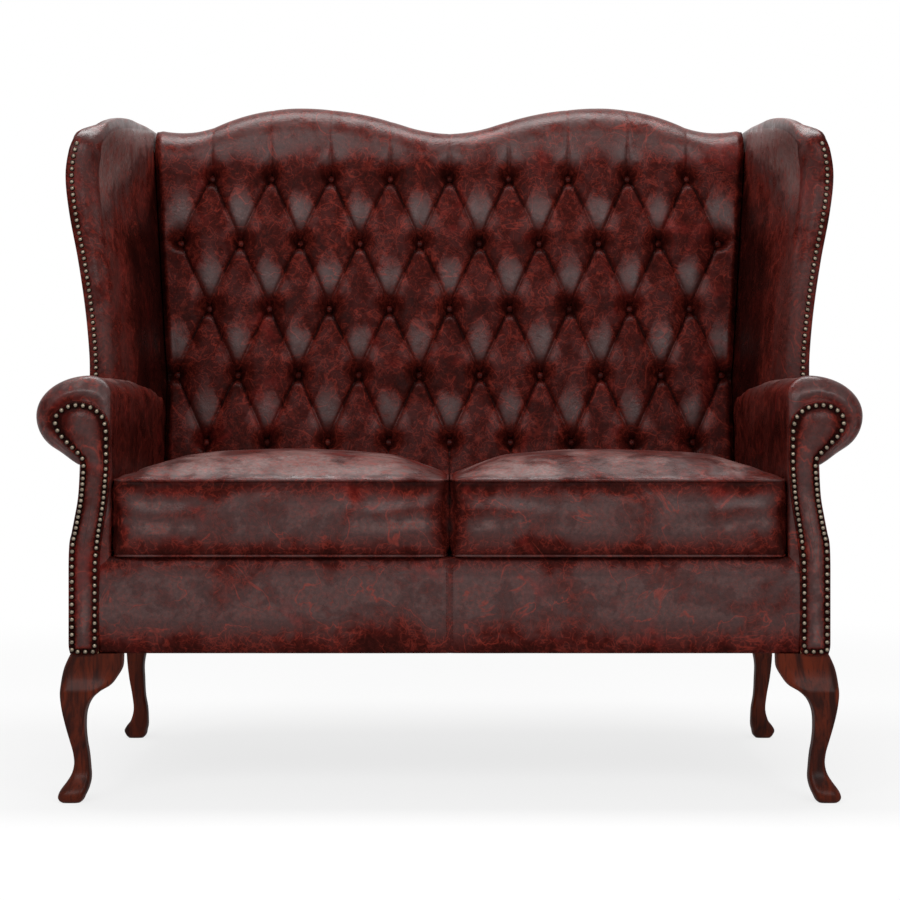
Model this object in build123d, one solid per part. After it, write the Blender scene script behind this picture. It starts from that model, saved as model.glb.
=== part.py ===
from build123d import *
import math
import os

# Two-seat wing sofa with a deep-buttoned back, rolled arms and cabriole legs, in millimetres.
# X runs to the right seen from the front, Y runs from the front to the back, Z is up.
# While it is built, Y is measured from the front of the arms. The last lines centre the depth.

# Overall sizes
leg_height = 230.0
border_height = 150.0
arm_height = 662.0
back_height = 1193.0
seat_depth = 533.0
inner_half_width = 526.0
back_rake = 11.0
gap = 0.3

# Frame timber
rail_height = 100.0
rail_thickness = 32.0
rail_inset = 17.0
back_ease = 4.0
post_width = 25.0
arm_board_width = 74.0
arm_board_thickness = 24.0
arm_board_drop = 50.0
arm_board_inset = 29.0
back_frame_depth = 45.0
back_post_width = 36.0
back_rail_height = 60.0
back_upright_width = 40.0
lower_rail_rise = 12.0
post_side = 2.0
wing_board_thickness = 20.0
tenon_length = 10.0
tenon_height = 60.0
tenon_thickness = 10.0
block_leg = 70.0
block_height = 60.0
bolt_diameter = 8.0
bolt_length_up = 60.0
bolt_length_down = 30.0
front_bolt_offset = 4.0
rear_bolt_offset = 8.0
rear_bolt_inset = 9.0
strap_width = 50.0
strap_thickness = 2.0
seat_strap_count = 9
back_strap_count = 7

# Covers and padding
border_thickness = 25.0
border_bulge = 8.0
seam_width = 4.0
facing_thickness = 8.0
facing_lap = 2.0
outside_thickness = 8.0
back_panel_thickness = 6.0
wing_panel_thickness = 6.0
arm_pad_thickness = 19.0
dust_thickness = 2.0
roll_shoulder = 34.0
roll_drop = 63.0
roll_overhang = 64.5
heel_inset = 30.0
heel_drop = 52.0
neck_drop = 139.0
knee_rise = 10.0
neck_length = 48.0
skin_ease = 1.0
scroll_side_inset = 24.0
scroll_top_inset = 41.0
scroll_inner_inset = 2.0
scroll_mid_drop = 7.0
scroll_edge_inset = 4.0
scroll_waist = 5.0
scroll_waist_rise = 12.0

# Seat cushions
cushion_border = 119.0
cushion_crown = 47.0
cushion_gap = 6.0
cushion_side_gap = 5.0
cushion_cover_thickness = 22.0
cushion_lean_gap = 4.0
cushion_overhang = 2.0
border_tuck = 4.0

# Tufted back
button_pitch = 113.0
row_pitch = 128.0
first_row_rise = 170.0
row_count = 5
buttons_in_short_row = 9
pad_valley = 50.0
pad_crown = 84.0
arch_facets = 6
pocket_sides = 8
pocket_floor = 34.0
pocket_top_radius = 34.0
button_radius = 11.0
button_rise = 8.0
button_taper = 30.0
pocket_ease = 2.0
back_flare = 44.0
hump_place = 288.0
centre_dip = 50.0
side_dip = 49.0
side_dip_inset = 50.0
side_lift = 6.0
hump_share = 0.7
top_cap = 24.0
top_round = 45.0

# Wings
wing_setback = 205.0
wing_strip = 18.0
wing_drop = 67.0
wing_thickness = 44.0
wing_root_ease = 4.0
wing_board_setback = 40.0
nose_round = 0.3

# Legs
leg_rounding = 0.3
ear_reach = 82.0
ear_drop = 64.0
ear_thickness = 26.0
ear_setback = 1.0
ear_root = 30.0
ear_neck = 40.0
ear_taper = 2.0
ear_belly = 16.0
ear_tip_share = 0.4
ear_bend_share = 0.72
dust_notch = 62.0
dust_ease = 2.0

# Nails
nail_radius = 4.5
nail_rise = 2.5
nail_sides = 6
nail_taper = 35.0
nail_pitch = 12.0
nail_inset = 6.0

rail_bottom = leg_height
rail_top = leg_height + rail_height
deck_top = leg_height + border_height
rake = math.radians(back_rake)
lean = math.tan(rake)
frame_at_deck = seat_depth + pad_crown / math.cos(rake)
rail_inner = inner_half_width + arm_pad_thickness
rail_outer = rail_inner + rail_thickness
arm_reach = rail_outer + roll_overhang
skin_outer = rail_outer + rail_inset
neck_height = arm_height - neck_drop
board_top = arm_height - arm_board_drop
board_bottom = board_top - arm_board_thickness
wing_height = back_height - wing_drop
post_outer = rail_outer - outside_thickness - gap
post_inner = post_outer - post_width
far = 3000.0


def frame_y(z):
    return frame_at_deck + (z - deck_top) * lean


rail_back = frame_y(rail_top) + back_frame_depth / math.cos(rake) + back_ease
back_plane = Plane(origin=(0, frame_at_deck, deck_top), x_dir=(1, 0, 0),
                   z_dir=(0, -math.cos(rake), math.sin(rake)))


def up_back(z):
    return (z - deck_top) / math.cos(rake)


def inner_x(z):
    share = max(0.0, (z - arm_height) / (back_height - arm_height))
    return inner_half_width + back_flare * share


def span(x0, x1, y0, y1, z0, z1):
    return Pos((x0 + x1) / 2, (y0 + y1) / 2, (z0 + z1) / 2) * Box(x1 - x0, y1 - y0, z1 - z0)


def on_back(shape):
    return back_plane.location * shape


def profile_along_y(sketch, y0, y1):
    # A sketch drawn in X and Z, pulled from y0 to y1.
    plane = Plane(origin=(0, y0, 0), x_dir=(1, 0, 0), z_dir=(0, -1, 0))
    return extrude(plane * sketch, amount=y1 - y0, dir=(0, 1, 0))


def profile_along_x(sketch, x0, x1):
    # A sketch drawn in Y and Z, pulled from x0 to x1.
    plane = Plane(origin=(x0, 0, 0), x_dir=(0, 1, 0), z_dir=(1, 0, 0))
    return extrude(plane * sketch, amount=x1 - x0, dir=(1, 0, 0))


def quarter(start, end, centre):
    # A quarter of an oval about the centre, made of two arcs that run smoothly into each other.
    first = Vector(*start)
    last = Vector(*end)
    corner = first + last - Vector(*centre)
    along = first - corner
    down = last - corner
    reach = (along.length + down.length - (first - last).length) / 2
    meet = corner + along.normalized() * reach + down.normalized() * reach
    return [TangentArc(first, meet, tangent=-along), TangentArc(last, meet, tangent=-down)]


nodes = {}


def single(name, shape):
    nodes[name] = shape


def pair(name, shape):
    # The shape is drawn on the right, and its mirror image goes on the left.
    nodes["right_" + name] = shape
    nodes["left_" + name] = mirror(shape, about=Plane.YZ)


# Seat frame
def make_rail(y0, y1, clearance):
    rail = span(-rail_inner, rail_inner, y0, y1, rail_bottom, rail_top)
    middle_y = (y0 + y1) / 2
    middle_z = (rail_bottom + rail_top) / 2
    thick = tenon_thickness / 2 + clearance
    tall = tenon_height / 2 + clearance
    reach = rail_inner + tenon_length + clearance
    tenon = span(-reach, reach, middle_y - thick, middle_y + thick, middle_z - tall, middle_z + tall)
    return rail, tenon


front_rail_y = border_thickness
back_rail_y = rail_back - rail_thickness
front_rail, front_tenon = make_rail(front_rail_y, front_rail_y + rail_thickness, 0)
back_rail, back_tenon = make_rail(back_rail_y, rail_back, 0)
front_mortise = make_rail(front_rail_y, front_rail_y + rail_thickness, gap / 2)[1]
back_mortise = make_rail(back_rail_y, rail_back, gap / 2)[1]
single("seat_front_rail", front_rail + front_tenon)
single("seat_back_rail", back_rail + back_tenon)

front_bolt_x = (rail_inner + rail_outer) / 2
front_bolt_y = front_rail_y - front_bolt_offset
rear_bolt_x = rail_outer - rear_bolt_inset
rear_bolt_y = rail_back - rear_bolt_offset
bolt_spots = [(front_bolt_x, front_bolt_y), (rear_bolt_x, rear_bolt_y)]


def bolt_rods(radius, extra):
    length = bolt_length_up + bolt_length_down + 2 * extra
    middle = rail_bottom + (bolt_length_up - bolt_length_down) / 2
    return [Pos(x, y, middle) * Cylinder(radius, length) for x, y in bolt_spots]


bolt_holes = bolt_rods(bolt_diameter / 2 + gap / 2, gap / 2)
side_rail = span(rail_inner, rail_outer, facing_thickness + gap, rail_back, rail_bottom, rail_top)
side_rail = side_rail - front_mortise - back_mortise
for hole in bolt_holes:
    side_rail = side_rail - hole
pair("seat_side_rail", side_rail)

right_bolts = bolt_rods(bolt_diameter / 2, 0)
left_bolts = [mirror(rod, about=Plane.YZ) for rod in right_bolts]
single("leg_bolts", Compound(right_bolts + left_bolts))


def corner_block(y, inward):
    corners = [(rail_inner, y), (rail_inner - block_leg, y), (rail_inner, y + inward * block_leg)]
    base = make_face(Polyline(*corners, close=True))
    return extrude(Pos(0, 0, rail_top - block_height) * base, amount=block_height, dir=(0, 0, 1))


right_blocks = [corner_block(front_rail_y + rail_thickness, 1), corner_block(back_rail_y, -1)]
left_blocks = [mirror(block, about=Plane.YZ) for block in right_blocks]
single("corner_blocks", Compound(right_blocks + left_blocks))


# Webbing and platform of the seat
def spread(count, half):
    return [-half + 2 * half * (i + 0.5) / count for i in range(count)]


seat_straps = []
for x in spread(seat_strap_count, inner_half_width - strap_width / 2):
    half = strap_width / 2
    y_end = rail_back - rail_thickness / 4
    seat_straps.append(span(x - half, x + half, front_rail_y + rail_thickness / 4, y_end,
                            rail_top, rail_top + strap_thickness))
single("seat_webbing", Compound(seat_straps))
platform_bottom = rail_top + strap_thickness
platform_edge = inner_half_width - gap
platform = span(-platform_edge, platform_edge, border_thickness + gap,
                frame_y(platform_bottom) - gap, platform_bottom, deck_top)
single("seat_platform", platform)

# Front border with its bulged face and centre seam
facing_inner_foot = rail_inner - facing_lap
border_half = facing_inner_foot - gap
border_middle = (rail_bottom + deck_top) / 2
border_side = make_face([
    Line((border_thickness, rail_bottom), (border_thickness, deck_top)),
    Line((border_thickness, deck_top), (border_bulge, deck_top)),
    ThreePointArc((border_bulge, deck_top), (0, border_middle), (border_bulge, rail_bottom)),
    Line((border_bulge, rail_bottom), (border_thickness, rail_bottom)),
])
border = profile_along_x(border_side, -border_half, border_half)
seam = Pos(0, 0, border_middle) * Rot(0, 0, 45) * Box(seam_width, seam_width, border_height)
single("front_border", border - seam)

# Arms
board_outer = arm_reach - arm_board_inset
board_inner = board_outer - arm_board_width
roll_out_height = arm_height - roll_drop
roll_top_x = inner_half_width + roll_shoulder
neck_x = rail_outer


def arm_section(grow):
    inner = inner_half_width - grow
    back_of_pad = inner_half_width + arm_pad_thickness
    low = rail_top
    top = arm_height + grow
    out = arm_reach + grow
    shoulder = arm_height - roll_shoulder
    heel = (arm_reach - heel_inset + grow, roll_out_height - heel_drop - grow)
    neck = (neck_x, neck_height - grow)
    edges = [Line((back_of_pad, low), (inner, low)), Line((inner, low), (inner, shoulder))]
    edges += quarter((inner, shoulder), (roll_top_x, top), (roll_top_x, shoulder))
    edges += quarter((roll_top_x, top), (out, roll_out_height), (roll_top_x, roll_out_height))
    edges.append(TangentArc((out, roll_out_height), heel, tangent=(0, -1)))
    edges.append(Line(heel, neck))
    edges.append(Line(neck, (back_of_pad, neck[1])))
    edges.append(Line((back_of_pad, neck[1]), (back_of_pad, low)))
    return make_face(edges)


panel_in = back_frame_depth
panel_out = back_frame_depth + back_panel_thickness
kink = deck_top + (rail_back - frame_at_deck - panel_in / math.cos(rake)) / lean
panel_back = rail_back + back_panel_thickness
kink_out = deck_top + (panel_back - frame_at_deck - panel_out / math.cos(rake)) / lean
behind_frame = profile_along_x(make_face(Polyline(
    (rail_back, -far), (rail_back, kink), (frame_y(far) + panel_in / math.cos(rake), far),
    (2 * far, far), (2 * far, -far), close=True)), -far, far)
behind_back = on_back(span(-far, far, -far, far, -far, 0))
post_shadow = on_back(span(-far, inner_half_width + back_post_width + gap, -far, far, -far, gap))
wing_end = on_back(span(-far, far, -far, far, -far, gap))
post_front = facing_thickness + gap
post_back = post_front + rail_thickness
post = span(post_inner, post_outer, post_front, post_back, rail_top, board_bottom)
pair("arm_front_post", post)
arm_board = span(board_inner, board_outer, post_front, far, board_bottom, board_top)
pair("arm_board", arm_board - behind_back)


# Wing sections from the arm to the top: share of the height, setback of the front,
# outer face inside the reach of the arm, thickness of the nose
wing_shares = [
    (0.0, 0, 45, 1.0),
    (0.327, 0, 38, 1.0),
    (0.482, 0, 26, 1.0),
    (0.638, 0, 11, 1.0),
    (0.755, 0, 5, 1.0),
    (0.844, 0, 12, 0.95),
    (0.891, 8, 35, 0.7),
    (0.946, 70, 57, 0.5),
    (1.0, 200, 57, 0.4),
]
wing_levels = []
for share, back, inside, part_thick in wing_shares:
    z = board_top + share * (wing_height - board_top)
    wing_levels.append((z, back, arm_reach - inside, wing_thickness * part_thick))
wing_crook = wing_levels[5][0]
wing_board_top = wing_levels[6][0]


def wing_solid(outline):
    return Solid.make_loft([Wire(outline(*level)) for level in wing_levels], ruled=True)


def wing_root(z):
    return inner_x(z) + back_post_width + wing_panel_thickness + wing_root_ease


def wing_body(z, back, reach, thick):
    y = wing_setback + back
    inner = reach - thick
    at_back = frame_y(z) + gap
    bend = at_back - pad_crown / math.cos(rake) - 2 * gap
    root_in = inner_x(z)
    root_out = wing_root(z)
    nose = (inner, y + thick)
    nose_end = (reach - wing_strip * thick / wing_thickness, y)
    nose_middle = (inner + (nose_end[0] - inner) * nose_round, y + thick * nose_round)
    return [
        Line((root_in, at_back, z), (root_in, bend, z)),
        Line((root_in, bend, z), (*nose, z)),
        ThreePointArc((*nose, z), (*nose_middle, z), (*nose_end, z)),
        Line((*nose_end, z), (reach, y, z)),
        Line((reach, y, z), (root_out, at_back, z)),
        Line((root_out, at_back, z), (root_in, at_back, z)),
    ]


def wing_layer(inside, outside, front, tail):
    # A layer that follows the outer face of the wing between two depths below it.
    def outline(z, back, reach, thick):
        y0 = wing_setback + back + front
        at_back = frame_y(z)
        y1 = at_back + tail
        slope = (wing_root(z) - reach) / (at_back + gap - wing_setback - back)
        x0 = reach + slope * front
        x1 = reach + slope * (y1 - wing_setback - back)
        front_side = [(x0 - inside, y0, z), (x0 - outside, y0, z)]
        back_side = [(x1 - outside, y1, z), (x1 - inside, y1, z)]
        return Polyline(*front_side, *back_side, close=True).edges()
    return outline


board_depth = wing_panel_thickness + gap
board_back = board_depth + wing_board_thickness
full_wing = wing_solid(wing_body)
wing_board = wing_solid(wing_layer(board_back, board_depth, wing_board_setback, -gap))
wing_board = wing_board & span(0, far, -far, far, 0, wing_board_top)
room_front = wing_board_setback - gap
board_room = wing_solid(wing_layer(board_back + gap, board_depth - gap, room_front, far / 10))
board_room = board_room & span(0, far, -far, far, 0, wing_board_top + gap)
panel = wing_solid(wing_layer(wing_panel_thickness, 0, wing_strip, back_frame_depth))
panel_room = wing_solid(wing_layer(board_depth, -far / 10, wing_strip - gap, far / 10))
arm_shadow = profile_along_y(arm_section(gap), 0, far)
wing_pad = full_wing - board_room - panel_room - arm_shadow - wing_end
outside_wing = panel - arm_shadow
pair("wing_board", wing_board)
pair("wing_pad", wing_pad)
pair("outside_wing", outside_wing)

arm_pad = profile_along_y(arm_section(0), facing_thickness, far) - behind_frame - post_shadow
post_room = span(post_inner - gap, post_outer + gap, 0, post_back + gap, rail_top, board_bottom)
board_slot = span(board_inner - gap, board_outer + gap, 0, far, board_bottom - gap, board_top + gap)
board_slot = board_slot - on_back(span(-far, far, -far, far, -far, -gap))
border_room = span(0, border_half + gap, -far, border_thickness + gap, 0, deck_top + gap)
arm_pad = arm_pad - post_room - board_slot - board_room - border_room
pair("arm_pad", arm_pad)

# Outside arm panel, straight below and drawn in towards the neck of the scroll
skin_knee = deck_top + knee_rise
skin_neck = neck_height - neck_length
skin_line = [(skin_outer, rail_bottom), (skin_outer - skin_ease, skin_knee),
             (neck_x + skin_ease, skin_neck), (neck_x, neck_height - gap)]
outside_face = make_face(Polyline(
    *skin_line, (post_outer + gap, neck_height - gap), (post_outer + gap, rail_top + gap),
    (rail_outer + gap, rail_top + gap), (rail_outer + gap, rail_bottom), close=True))
outside_arm = profile_along_y(outside_face, facing_thickness + gap, far) - behind_frame
pair("outside_arm", outside_arm)

# Scroll facing on the front of the arm, with its line of nails
scroll_out = arm_reach - scroll_side_inset
scroll_top = arm_height - scroll_top_inset
scroll_in = inner_half_width + scroll_inner_inset
scroll_mid_z = roll_out_height - scroll_mid_drop
scroll_neck = neck_height - scroll_inner_inset
scroll_neck_x = neck_x - scroll_edge_inset
facing_foot = skin_outer - scroll_edge_inset
waist = (scroll_in + scroll_waist, (scroll_neck + deck_top) / 2 + scroll_waist_rise)
facing_edges = [
    Line((facing_inner_foot, rail_bottom), (facing_foot, rail_bottom)),
    Line((facing_foot, rail_bottom), (facing_foot - skin_ease, skin_knee)),
    Line((facing_foot - skin_ease, skin_knee), (scroll_neck_x + skin_ease, skin_neck)),
    Line((scroll_neck_x + skin_ease, skin_neck), (scroll_neck_x, scroll_neck)),
    Line((scroll_in, scroll_mid_z), (scroll_in, scroll_neck)),
    ThreePointArc((scroll_in, scroll_neck), waist, (facing_inner_foot, deck_top + gap)),
    Line((facing_inner_foot, deck_top + gap), (facing_inner_foot, rail_bottom)),
]
scroll_nose = (scroll_out, scroll_mid_z)
facing_edges += quarter((scroll_neck_x, scroll_neck), scroll_nose, (scroll_neck_x, scroll_mid_z))
facing_edges += quarter(scroll_nose, (neck_x, scroll_top), (neck_x, scroll_mid_z))
facing_edges += quarter((neck_x, scroll_top), (scroll_in, scroll_mid_z), (neck_x, scroll_mid_z))
facing_face = make_face(facing_edges)
pair("arm_facing", profile_along_y(facing_face, 0, facing_thickness))


def nail_at(x, y, z):
    head = extrude(RegularPolygon(nail_radius, nail_sides), amount=nail_rise, taper=nail_taper)
    return Pos(x, y, z) * Rot(90, 0, 0) * head


nail_path = offset(facing_face, amount=-nail_inset).faces()[0].outer_wire()
nail_count = round(nail_path.length / nail_pitch)
arm_nails = []
for i in range(nail_count):
    spot = nail_path @ (i / nail_count)
    arm_nails.append(nail_at(spot.X, 0, spot.Y))
pair("arm_nails", Compound(arm_nails))


def wing_edge(z):
    for low, high in zip(wing_levels, wing_levels[1:]):
        if low[0] <= z <= high[0]:
            share = (z - low[0]) / (high[0] - low[0])
            return low[2] + share * (high[2] - low[2])


wing_nails = []
wing_nail_low = arm_height + nail_pitch
wing_nail_count = int((wing_crook - wing_nail_low) / nail_pitch)
for i in range(wing_nail_count + 1):
    z = wing_nail_low + i * nail_pitch
    wing_nails.append(nail_at(wing_edge(z) - wing_strip / 2, wing_setback, z))
pair("wing_nails", Compound(wing_nails))


# Back: serpentine top line, each rise made of two arcs that run smoothly into each other
def rise(dip, hump):
    meet = tuple(h + hump_share * (d - h) for d, h in zip(dip, hump))
    level = (hump[0] - dip[0], 0)
    return [TangentArc(dip, meet, tangent=level), TangentArc(hump, meet, tangent=(-level[0], 0))]


flare_top = inner_x(back_height - side_dip)
dip_place = flare_top - side_dip_inset


def below_top(lower):
    # Everything below the top line, lowered by the given amount.
    centre = up_back(back_height - centre_dip) - lower
    hump = up_back(back_height) - lower
    side = up_back(back_height - side_dip) - lower
    end = side + side_lift
    edges = [Line((-far, -far), (far, -far))]
    for sign in (-1, 1):
        edges.append(Line((sign * far, -far), (sign * far, end)))
        edges.append(Line((sign * far, end), (sign * flare_top, end)))
        edges.append(TangentArc((sign * dip_place, side), (sign * flare_top, end), tangent=(sign, 0)))
        edges += rise((sign * dip_place, side), (sign * hump_place, hump))
        edges += rise((0, centre), (sign * hump_place, hump))
    return make_face(edges)


def back_outline(lower, half_low, half_high, bottom):
    # Straight sides to the arms, then flared to the side of the top line.
    side = up_back(back_height - side_dip)
    spread_out = (half_high - half_low) / (side - arm_level)
    half_far = half_low + spread_out * (far - arm_level)
    sides = Polyline((-half_low, bottom), (-half_low, arm_level), (-half_far, far), (half_far, far),
                     (half_low, arm_level), (half_low, bottom), close=True)
    return below_top(lower) & make_face(sides)


arm_level = up_back(arm_height)
frame_low = up_back(rail_top)
post_top = up_back(wing_height)
rail_low = up_back(deck_top) + lower_rail_rise
top_rail_low = up_back(back_height - centre_dip) - top_cap - back_rail_height


def back_prism(face, w0, w1):
    return on_back(extrude(Pos(0, 0, w0) * face, amount=w1 - w0, dir=(0, 0, 1)))


def post_line(v, offset_x):
    return inner_x(deck_top + v * math.cos(rake)) + offset_x


post_corners = []
for v in (frame_low, arm_level, post_top):
    post_corners.append((post_line(v, post_side), v))
for v in (post_top, arm_level, frame_low):
    post_corners.append((post_line(v, back_post_width), v))
back_post_face = make_face(Polyline(*post_corners, close=True))
post_cut = span(-far, far, -far, far, -far, rail_top)
pair("back_post", back_prism(back_post_face, -back_frame_depth, 0) - post_cut)

post_inside = [(post_line(v, post_side), v) for v in (frame_low, arm_level, post_top)]
post_inside.append((post_inside[-1][0], far))
other_inside = [(-x, v) for x, v in reversed(post_inside)]
between = make_face(Polyline(*post_inside, *other_inside, close=True))
rail_band = Pos(0, rail_low + back_rail_height / 2, 0) * Rectangle(far, back_rail_height)
single("back_lower_rail", back_prism(between & rail_band, -back_frame_depth, 0))
rail_band = Pos(0, top_rail_low + far / 2, 0) * Rectangle(far, far)
single("back_top_rail", back_prism(between & below_top(top_cap) & rail_band, -back_frame_depth, 0))
upright_low = rail_low + back_rail_height
upright_face = Rectangle(back_upright_width, top_rail_low - upright_low)
upright_face = Pos(button_pitch * 1.5, (upright_low + top_rail_low) / 2, 0) * upright_face
pair("back_upright", back_prism(upright_face, -back_frame_depth, 0))

back_straps = []
strap_low = rail_low + back_rail_height / 4
strap_high = top_rail_low + back_rail_height / 2
for x in spread(back_strap_count, inner_half_width - strap_width):
    strap = Pos(x, (strap_low + strap_high) / 2, 0) * Rectangle(strap_width, strap_high - strap_low)
    back_straps.append(back_prism(strap, 0, strap_thickness))
single("back_webbing", Compound(back_straps))

# Outside back: upright behind the seat rail, then along the raked frame
panel_face = make_face(Polyline(
    (rail_back, rail_bottom), (rail_back, kink),
    (frame_y(back_height) + panel_in / math.cos(rake), back_height),
    (frame_y(back_height) + panel_out / math.cos(rake), back_height),
    (panel_back, kink_out), (panel_back, rail_bottom), close=True))
panel_shape = back_outline(0, neck_x, flare_top + back_post_width, up_back(0))
outside_back = profile_along_x(panel_face, -far / 2, far / 2)
outside_back = outside_back & back_prism(panel_shape, -far, far)
single("outside_back", outside_back)

# Tufted back pad: two families of arched pleats cross to make the diamonds
rows = [first_row_rise + i * row_pitch for i in range(row_count)]
slant = math.atan2(row_pitch, button_pitch / 2)
pleat_spacing = button_pitch * math.sin(slant)
pad_back = strap_thickness + gap


def arched_sheet(spacing, waves):
    # Outline of a row of arches, drawn about its middle, closed along the back of the pad.
    # Each arch is a parabola in short straight steps, so that crossing pleats meet in clean lines.
    first = -waves * spacing
    steps = 2 * waves * arch_facets
    points = []
    for k in range(steps + 1):
        across = (k % arch_facets) / arch_facets
        swell = 4 * across * (1 - across)
        points.append((first + k * spacing / arch_facets, pad_valley + swell * (pad_crown - pad_valley)))
    return make_face(Polyline((first, pad_back), *points, (-first, pad_back), close=True))


def pleats(direction, spacing, through, length, start):
    along = Vector(math.cos(direction), math.sin(direction), 0)
    across = Vector(-along.Y, along.X, 0)
    plane = Plane(origin=Vector(*through, 0) + along * start, x_dir=across, z_dir=along)
    waves = int(1.5 * flare_top / spacing) + 1
    return extrude(plane * arched_sheet(spacing, waves), amount=length, dir=along)


middle_row = rows[row_count // 2]
reach_up = 2 * row_count * row_pitch
low_row = rows[0]
high_row = rows[-1]
field = span(-far, far, low_row, high_row, -far, far)
rising = pleats(slant, pleat_spacing, (0, middle_row), reach_up, -reach_up / 2)
falling = pleats(math.pi - slant, pleat_spacing, (0, middle_row), reach_up, -reach_up / 2)
diamonds = rising & falling & field
upper = pleats(math.pi / 2, button_pitch, (0, high_row), back_height, 0)
lower = pleats(math.pi / 2, button_pitch, (0, low_row), back_height, -back_height)
pad_face = back_outline(0, inner_half_width - gap, flare_top - gap, up_back(0))
pad_base = Pos(0, 0, -back_frame_depth) * pad_face
pad_block = extrude(pad_base, amount=back_frame_depth + pad_crown, dir=(0, 0, 1))
front_edges = pad_block.edges().group_by(Axis.Z)[-1]
pad_block = fillet([edge for edge in front_edges if edge.geom_type == GeomType.CIRCLE], top_round)
pad = (diamonds + upper + lower) & pad_block
cap_face = pad_face - below_top(top_cap - gap)
cap = extrude(Pos(0, 0, -back_frame_depth) * cap_face, amount=back_frame_depth + pad_back, dir=(0, 0, 1))


def button_spots():
    spots = []
    for i, v in enumerate(rows):
        count = buttons_in_short_row + i % 2
        for k in range(count):
            spots.append(((k - (count - 1) / 2) * button_pitch, v))
    return spots


pocket_height = pad_crown - pocket_floor + pocket_ease
floor_radius = button_radius + pocket_ease
pocket = loft([
    Pos(0, 0, pocket_floor) * RegularPolygon(floor_radius, pocket_sides),
    Pos(0, 0, pocket_floor + pocket_height) * RegularPolygon(pocket_top_radius, pocket_sides),
])
pad = pad - [Pos(u, v, 0) * pocket for u, v in button_spots()]
pad = on_back(pad + cap)
pad = pad - span(-far, far, -far, far, -far, deck_top + gap)
single("tufted_back_pad", pad)
button = extrude(RegularPolygon(button_radius, pocket_sides), amount=button_rise, taper=button_taper)
buttons = [on_back(Pos(u, v, pocket_floor) * button) for u, v in button_spots()]
single("back_buttons", Compound(buttons))


# Loose seat cushions: flat below, crowned above, with the border drawn in at its middle
cushion_low = deck_top + gap
cushion_inner = cushion_gap / 2
cushion_outer = inner_half_width - cushion_side_gap
cushion_width = cushion_outer - cushion_inner
crown_stations = [(0.0, 0.12), (0.12, 0.5), (0.5, 1.0), (0.88, 0.5), (1.0, 0.12)]
cushion_front = -cushion_overhang


def cushion_section(share, rise):
    x = cushion_inner + share * cushion_width
    y0 = cushion_front
    back_low = seat_depth - cushion_lean_gap
    back_high = back_low + cushion_border * lean
    top = cushion_low + cushion_border
    peak = top + cushion_crown * rise
    tuck = (y0 + border_tuck, (cushion_low + top) / 2)
    return Wire([
        Line((x, back_low, cushion_low), (x, y0, cushion_low)),
        ThreePointArc((x, y0, cushion_low), (x, *tuck), (x, y0, top)),
        ThreePointArc((x, y0, top), (x, (y0 + back_high) / 2, peak), (x, back_high, top)),
        Line((x, back_high, top), (x, back_low, cushion_low)),
    ])


cover = Solid.make_loft([cushion_section(*station) for station in crown_stations])
wall = cushion_cover_thickness


def cushion_block(ease):
    # The foam core, or the room for it when it is eased.
    side = wall - ease
    front = cushion_front + border_tuck + side
    back = seat_depth - cushion_lean_gap - side
    top = cushion_low + cushion_border - wall / 4 + ease
    return span(cushion_inner + side, cushion_outer - side, front, back, cushion_low + side, top)


pair("seat_cushion_cover", cover - cushion_block(gap))
pair("seat_cushion_core", cushion_block(0))


# Legs: rounded squares stacked along the leg, each with its outer face set out from the frame corner
def leg_stack(levels):
    # Each level is a share of the height, the outer face beyond the corner, and the width.
    wires = []
    for share, proud, width in levels:
        centre = proud - width / 2
        outline = RectangleRounded(width, width, width * leg_rounding).wire()
        wires.append(Pos(centre, -centre, share * leg_height) * outline)
    return Solid.make_loft(wires)


front_levels = [(1.0, -2, 60), (0.88, 9, 60), (0.77, 12, 56), (0.656, 10.5, 44), (0.562, 7.4, 35),
                (0.467, 2.8, 29), (0.374, -3.4, 25), (0.279, -7.5, 23), (0.2, -4, 28.5),
                (0.138, 1.5, 34.5), (0.06, 12, 42.5), (0.0, 9, 32)]
rear_levels = [(1.0, 10, 56), (0.87, 14, 52), (0.74, 15, 38), (0.61, 14, 30), (0.48, 10, 27),
               (0.35, 4, 23.5), (0.24, 1, 26), (0.145, 7, 33), (0.06, 20, 42), (0.0, 14, 31)]
corner_x = skin_outer
ear_low = leg_height - ear_drop
ear_tip = (-ear_reach + ear_taper, leg_height - ear_drop * ear_tip_share)
ear_bend = (-ear_reach + ear_belly, leg_height - ear_drop * ear_bend_share)
ear_outline = make_face([
    Line((-ear_root, leg_height), (-ear_reach, leg_height)),
    Line((-ear_reach, leg_height), ear_tip),
    ThreePointArc(ear_tip, ear_bend, (-ear_neck, ear_low)),
    Line((-ear_neck, ear_low), (-ear_root, ear_low)),
    Line((-ear_root, ear_low), (-ear_root, leg_height)),
])
side_ear = profile_along_y(ear_outline, ear_setback, ear_setback + ear_thickness)
leg_diagonal = Plane(origin=(0, 0, 0), z_dir=(1, 1, 0))
front_leg = leg_stack(front_levels) + side_ear + mirror(side_ear, about=leg_diagonal)
front_leg = Pos(corner_x, 0, 0) * front_leg
rear_leg = Pos(corner_x, panel_back, 0) * mirror(leg_stack(rear_levels), about=Plane.XZ)
for hole in bolt_holes:
    front_leg = front_leg - hole
    rear_leg = rear_leg - hole
pair("front_leg", front_leg)
pair("rear_leg", rear_leg)

# Dust cover under the frame, cut away round the legs
dust = span(-rail_outer, rail_outer, front_rail_y, rail_back, rail_bottom - dust_thickness, rail_bottom)
for sign in (-1, 1):
    front_notch = ear_reach + dust_ease
    front_cut = span(corner_x - front_notch, far, -far, front_notch, 0, far)
    rear_cut = span(corner_x - dust_notch, far, rail_back - dust_notch, far, 0, far)
    for cut in (front_cut, rear_cut):
        dust = dust - (cut if sign > 0 else mirror(cut, about=Plane.YZ))
single("dust_cover", dust)

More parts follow.
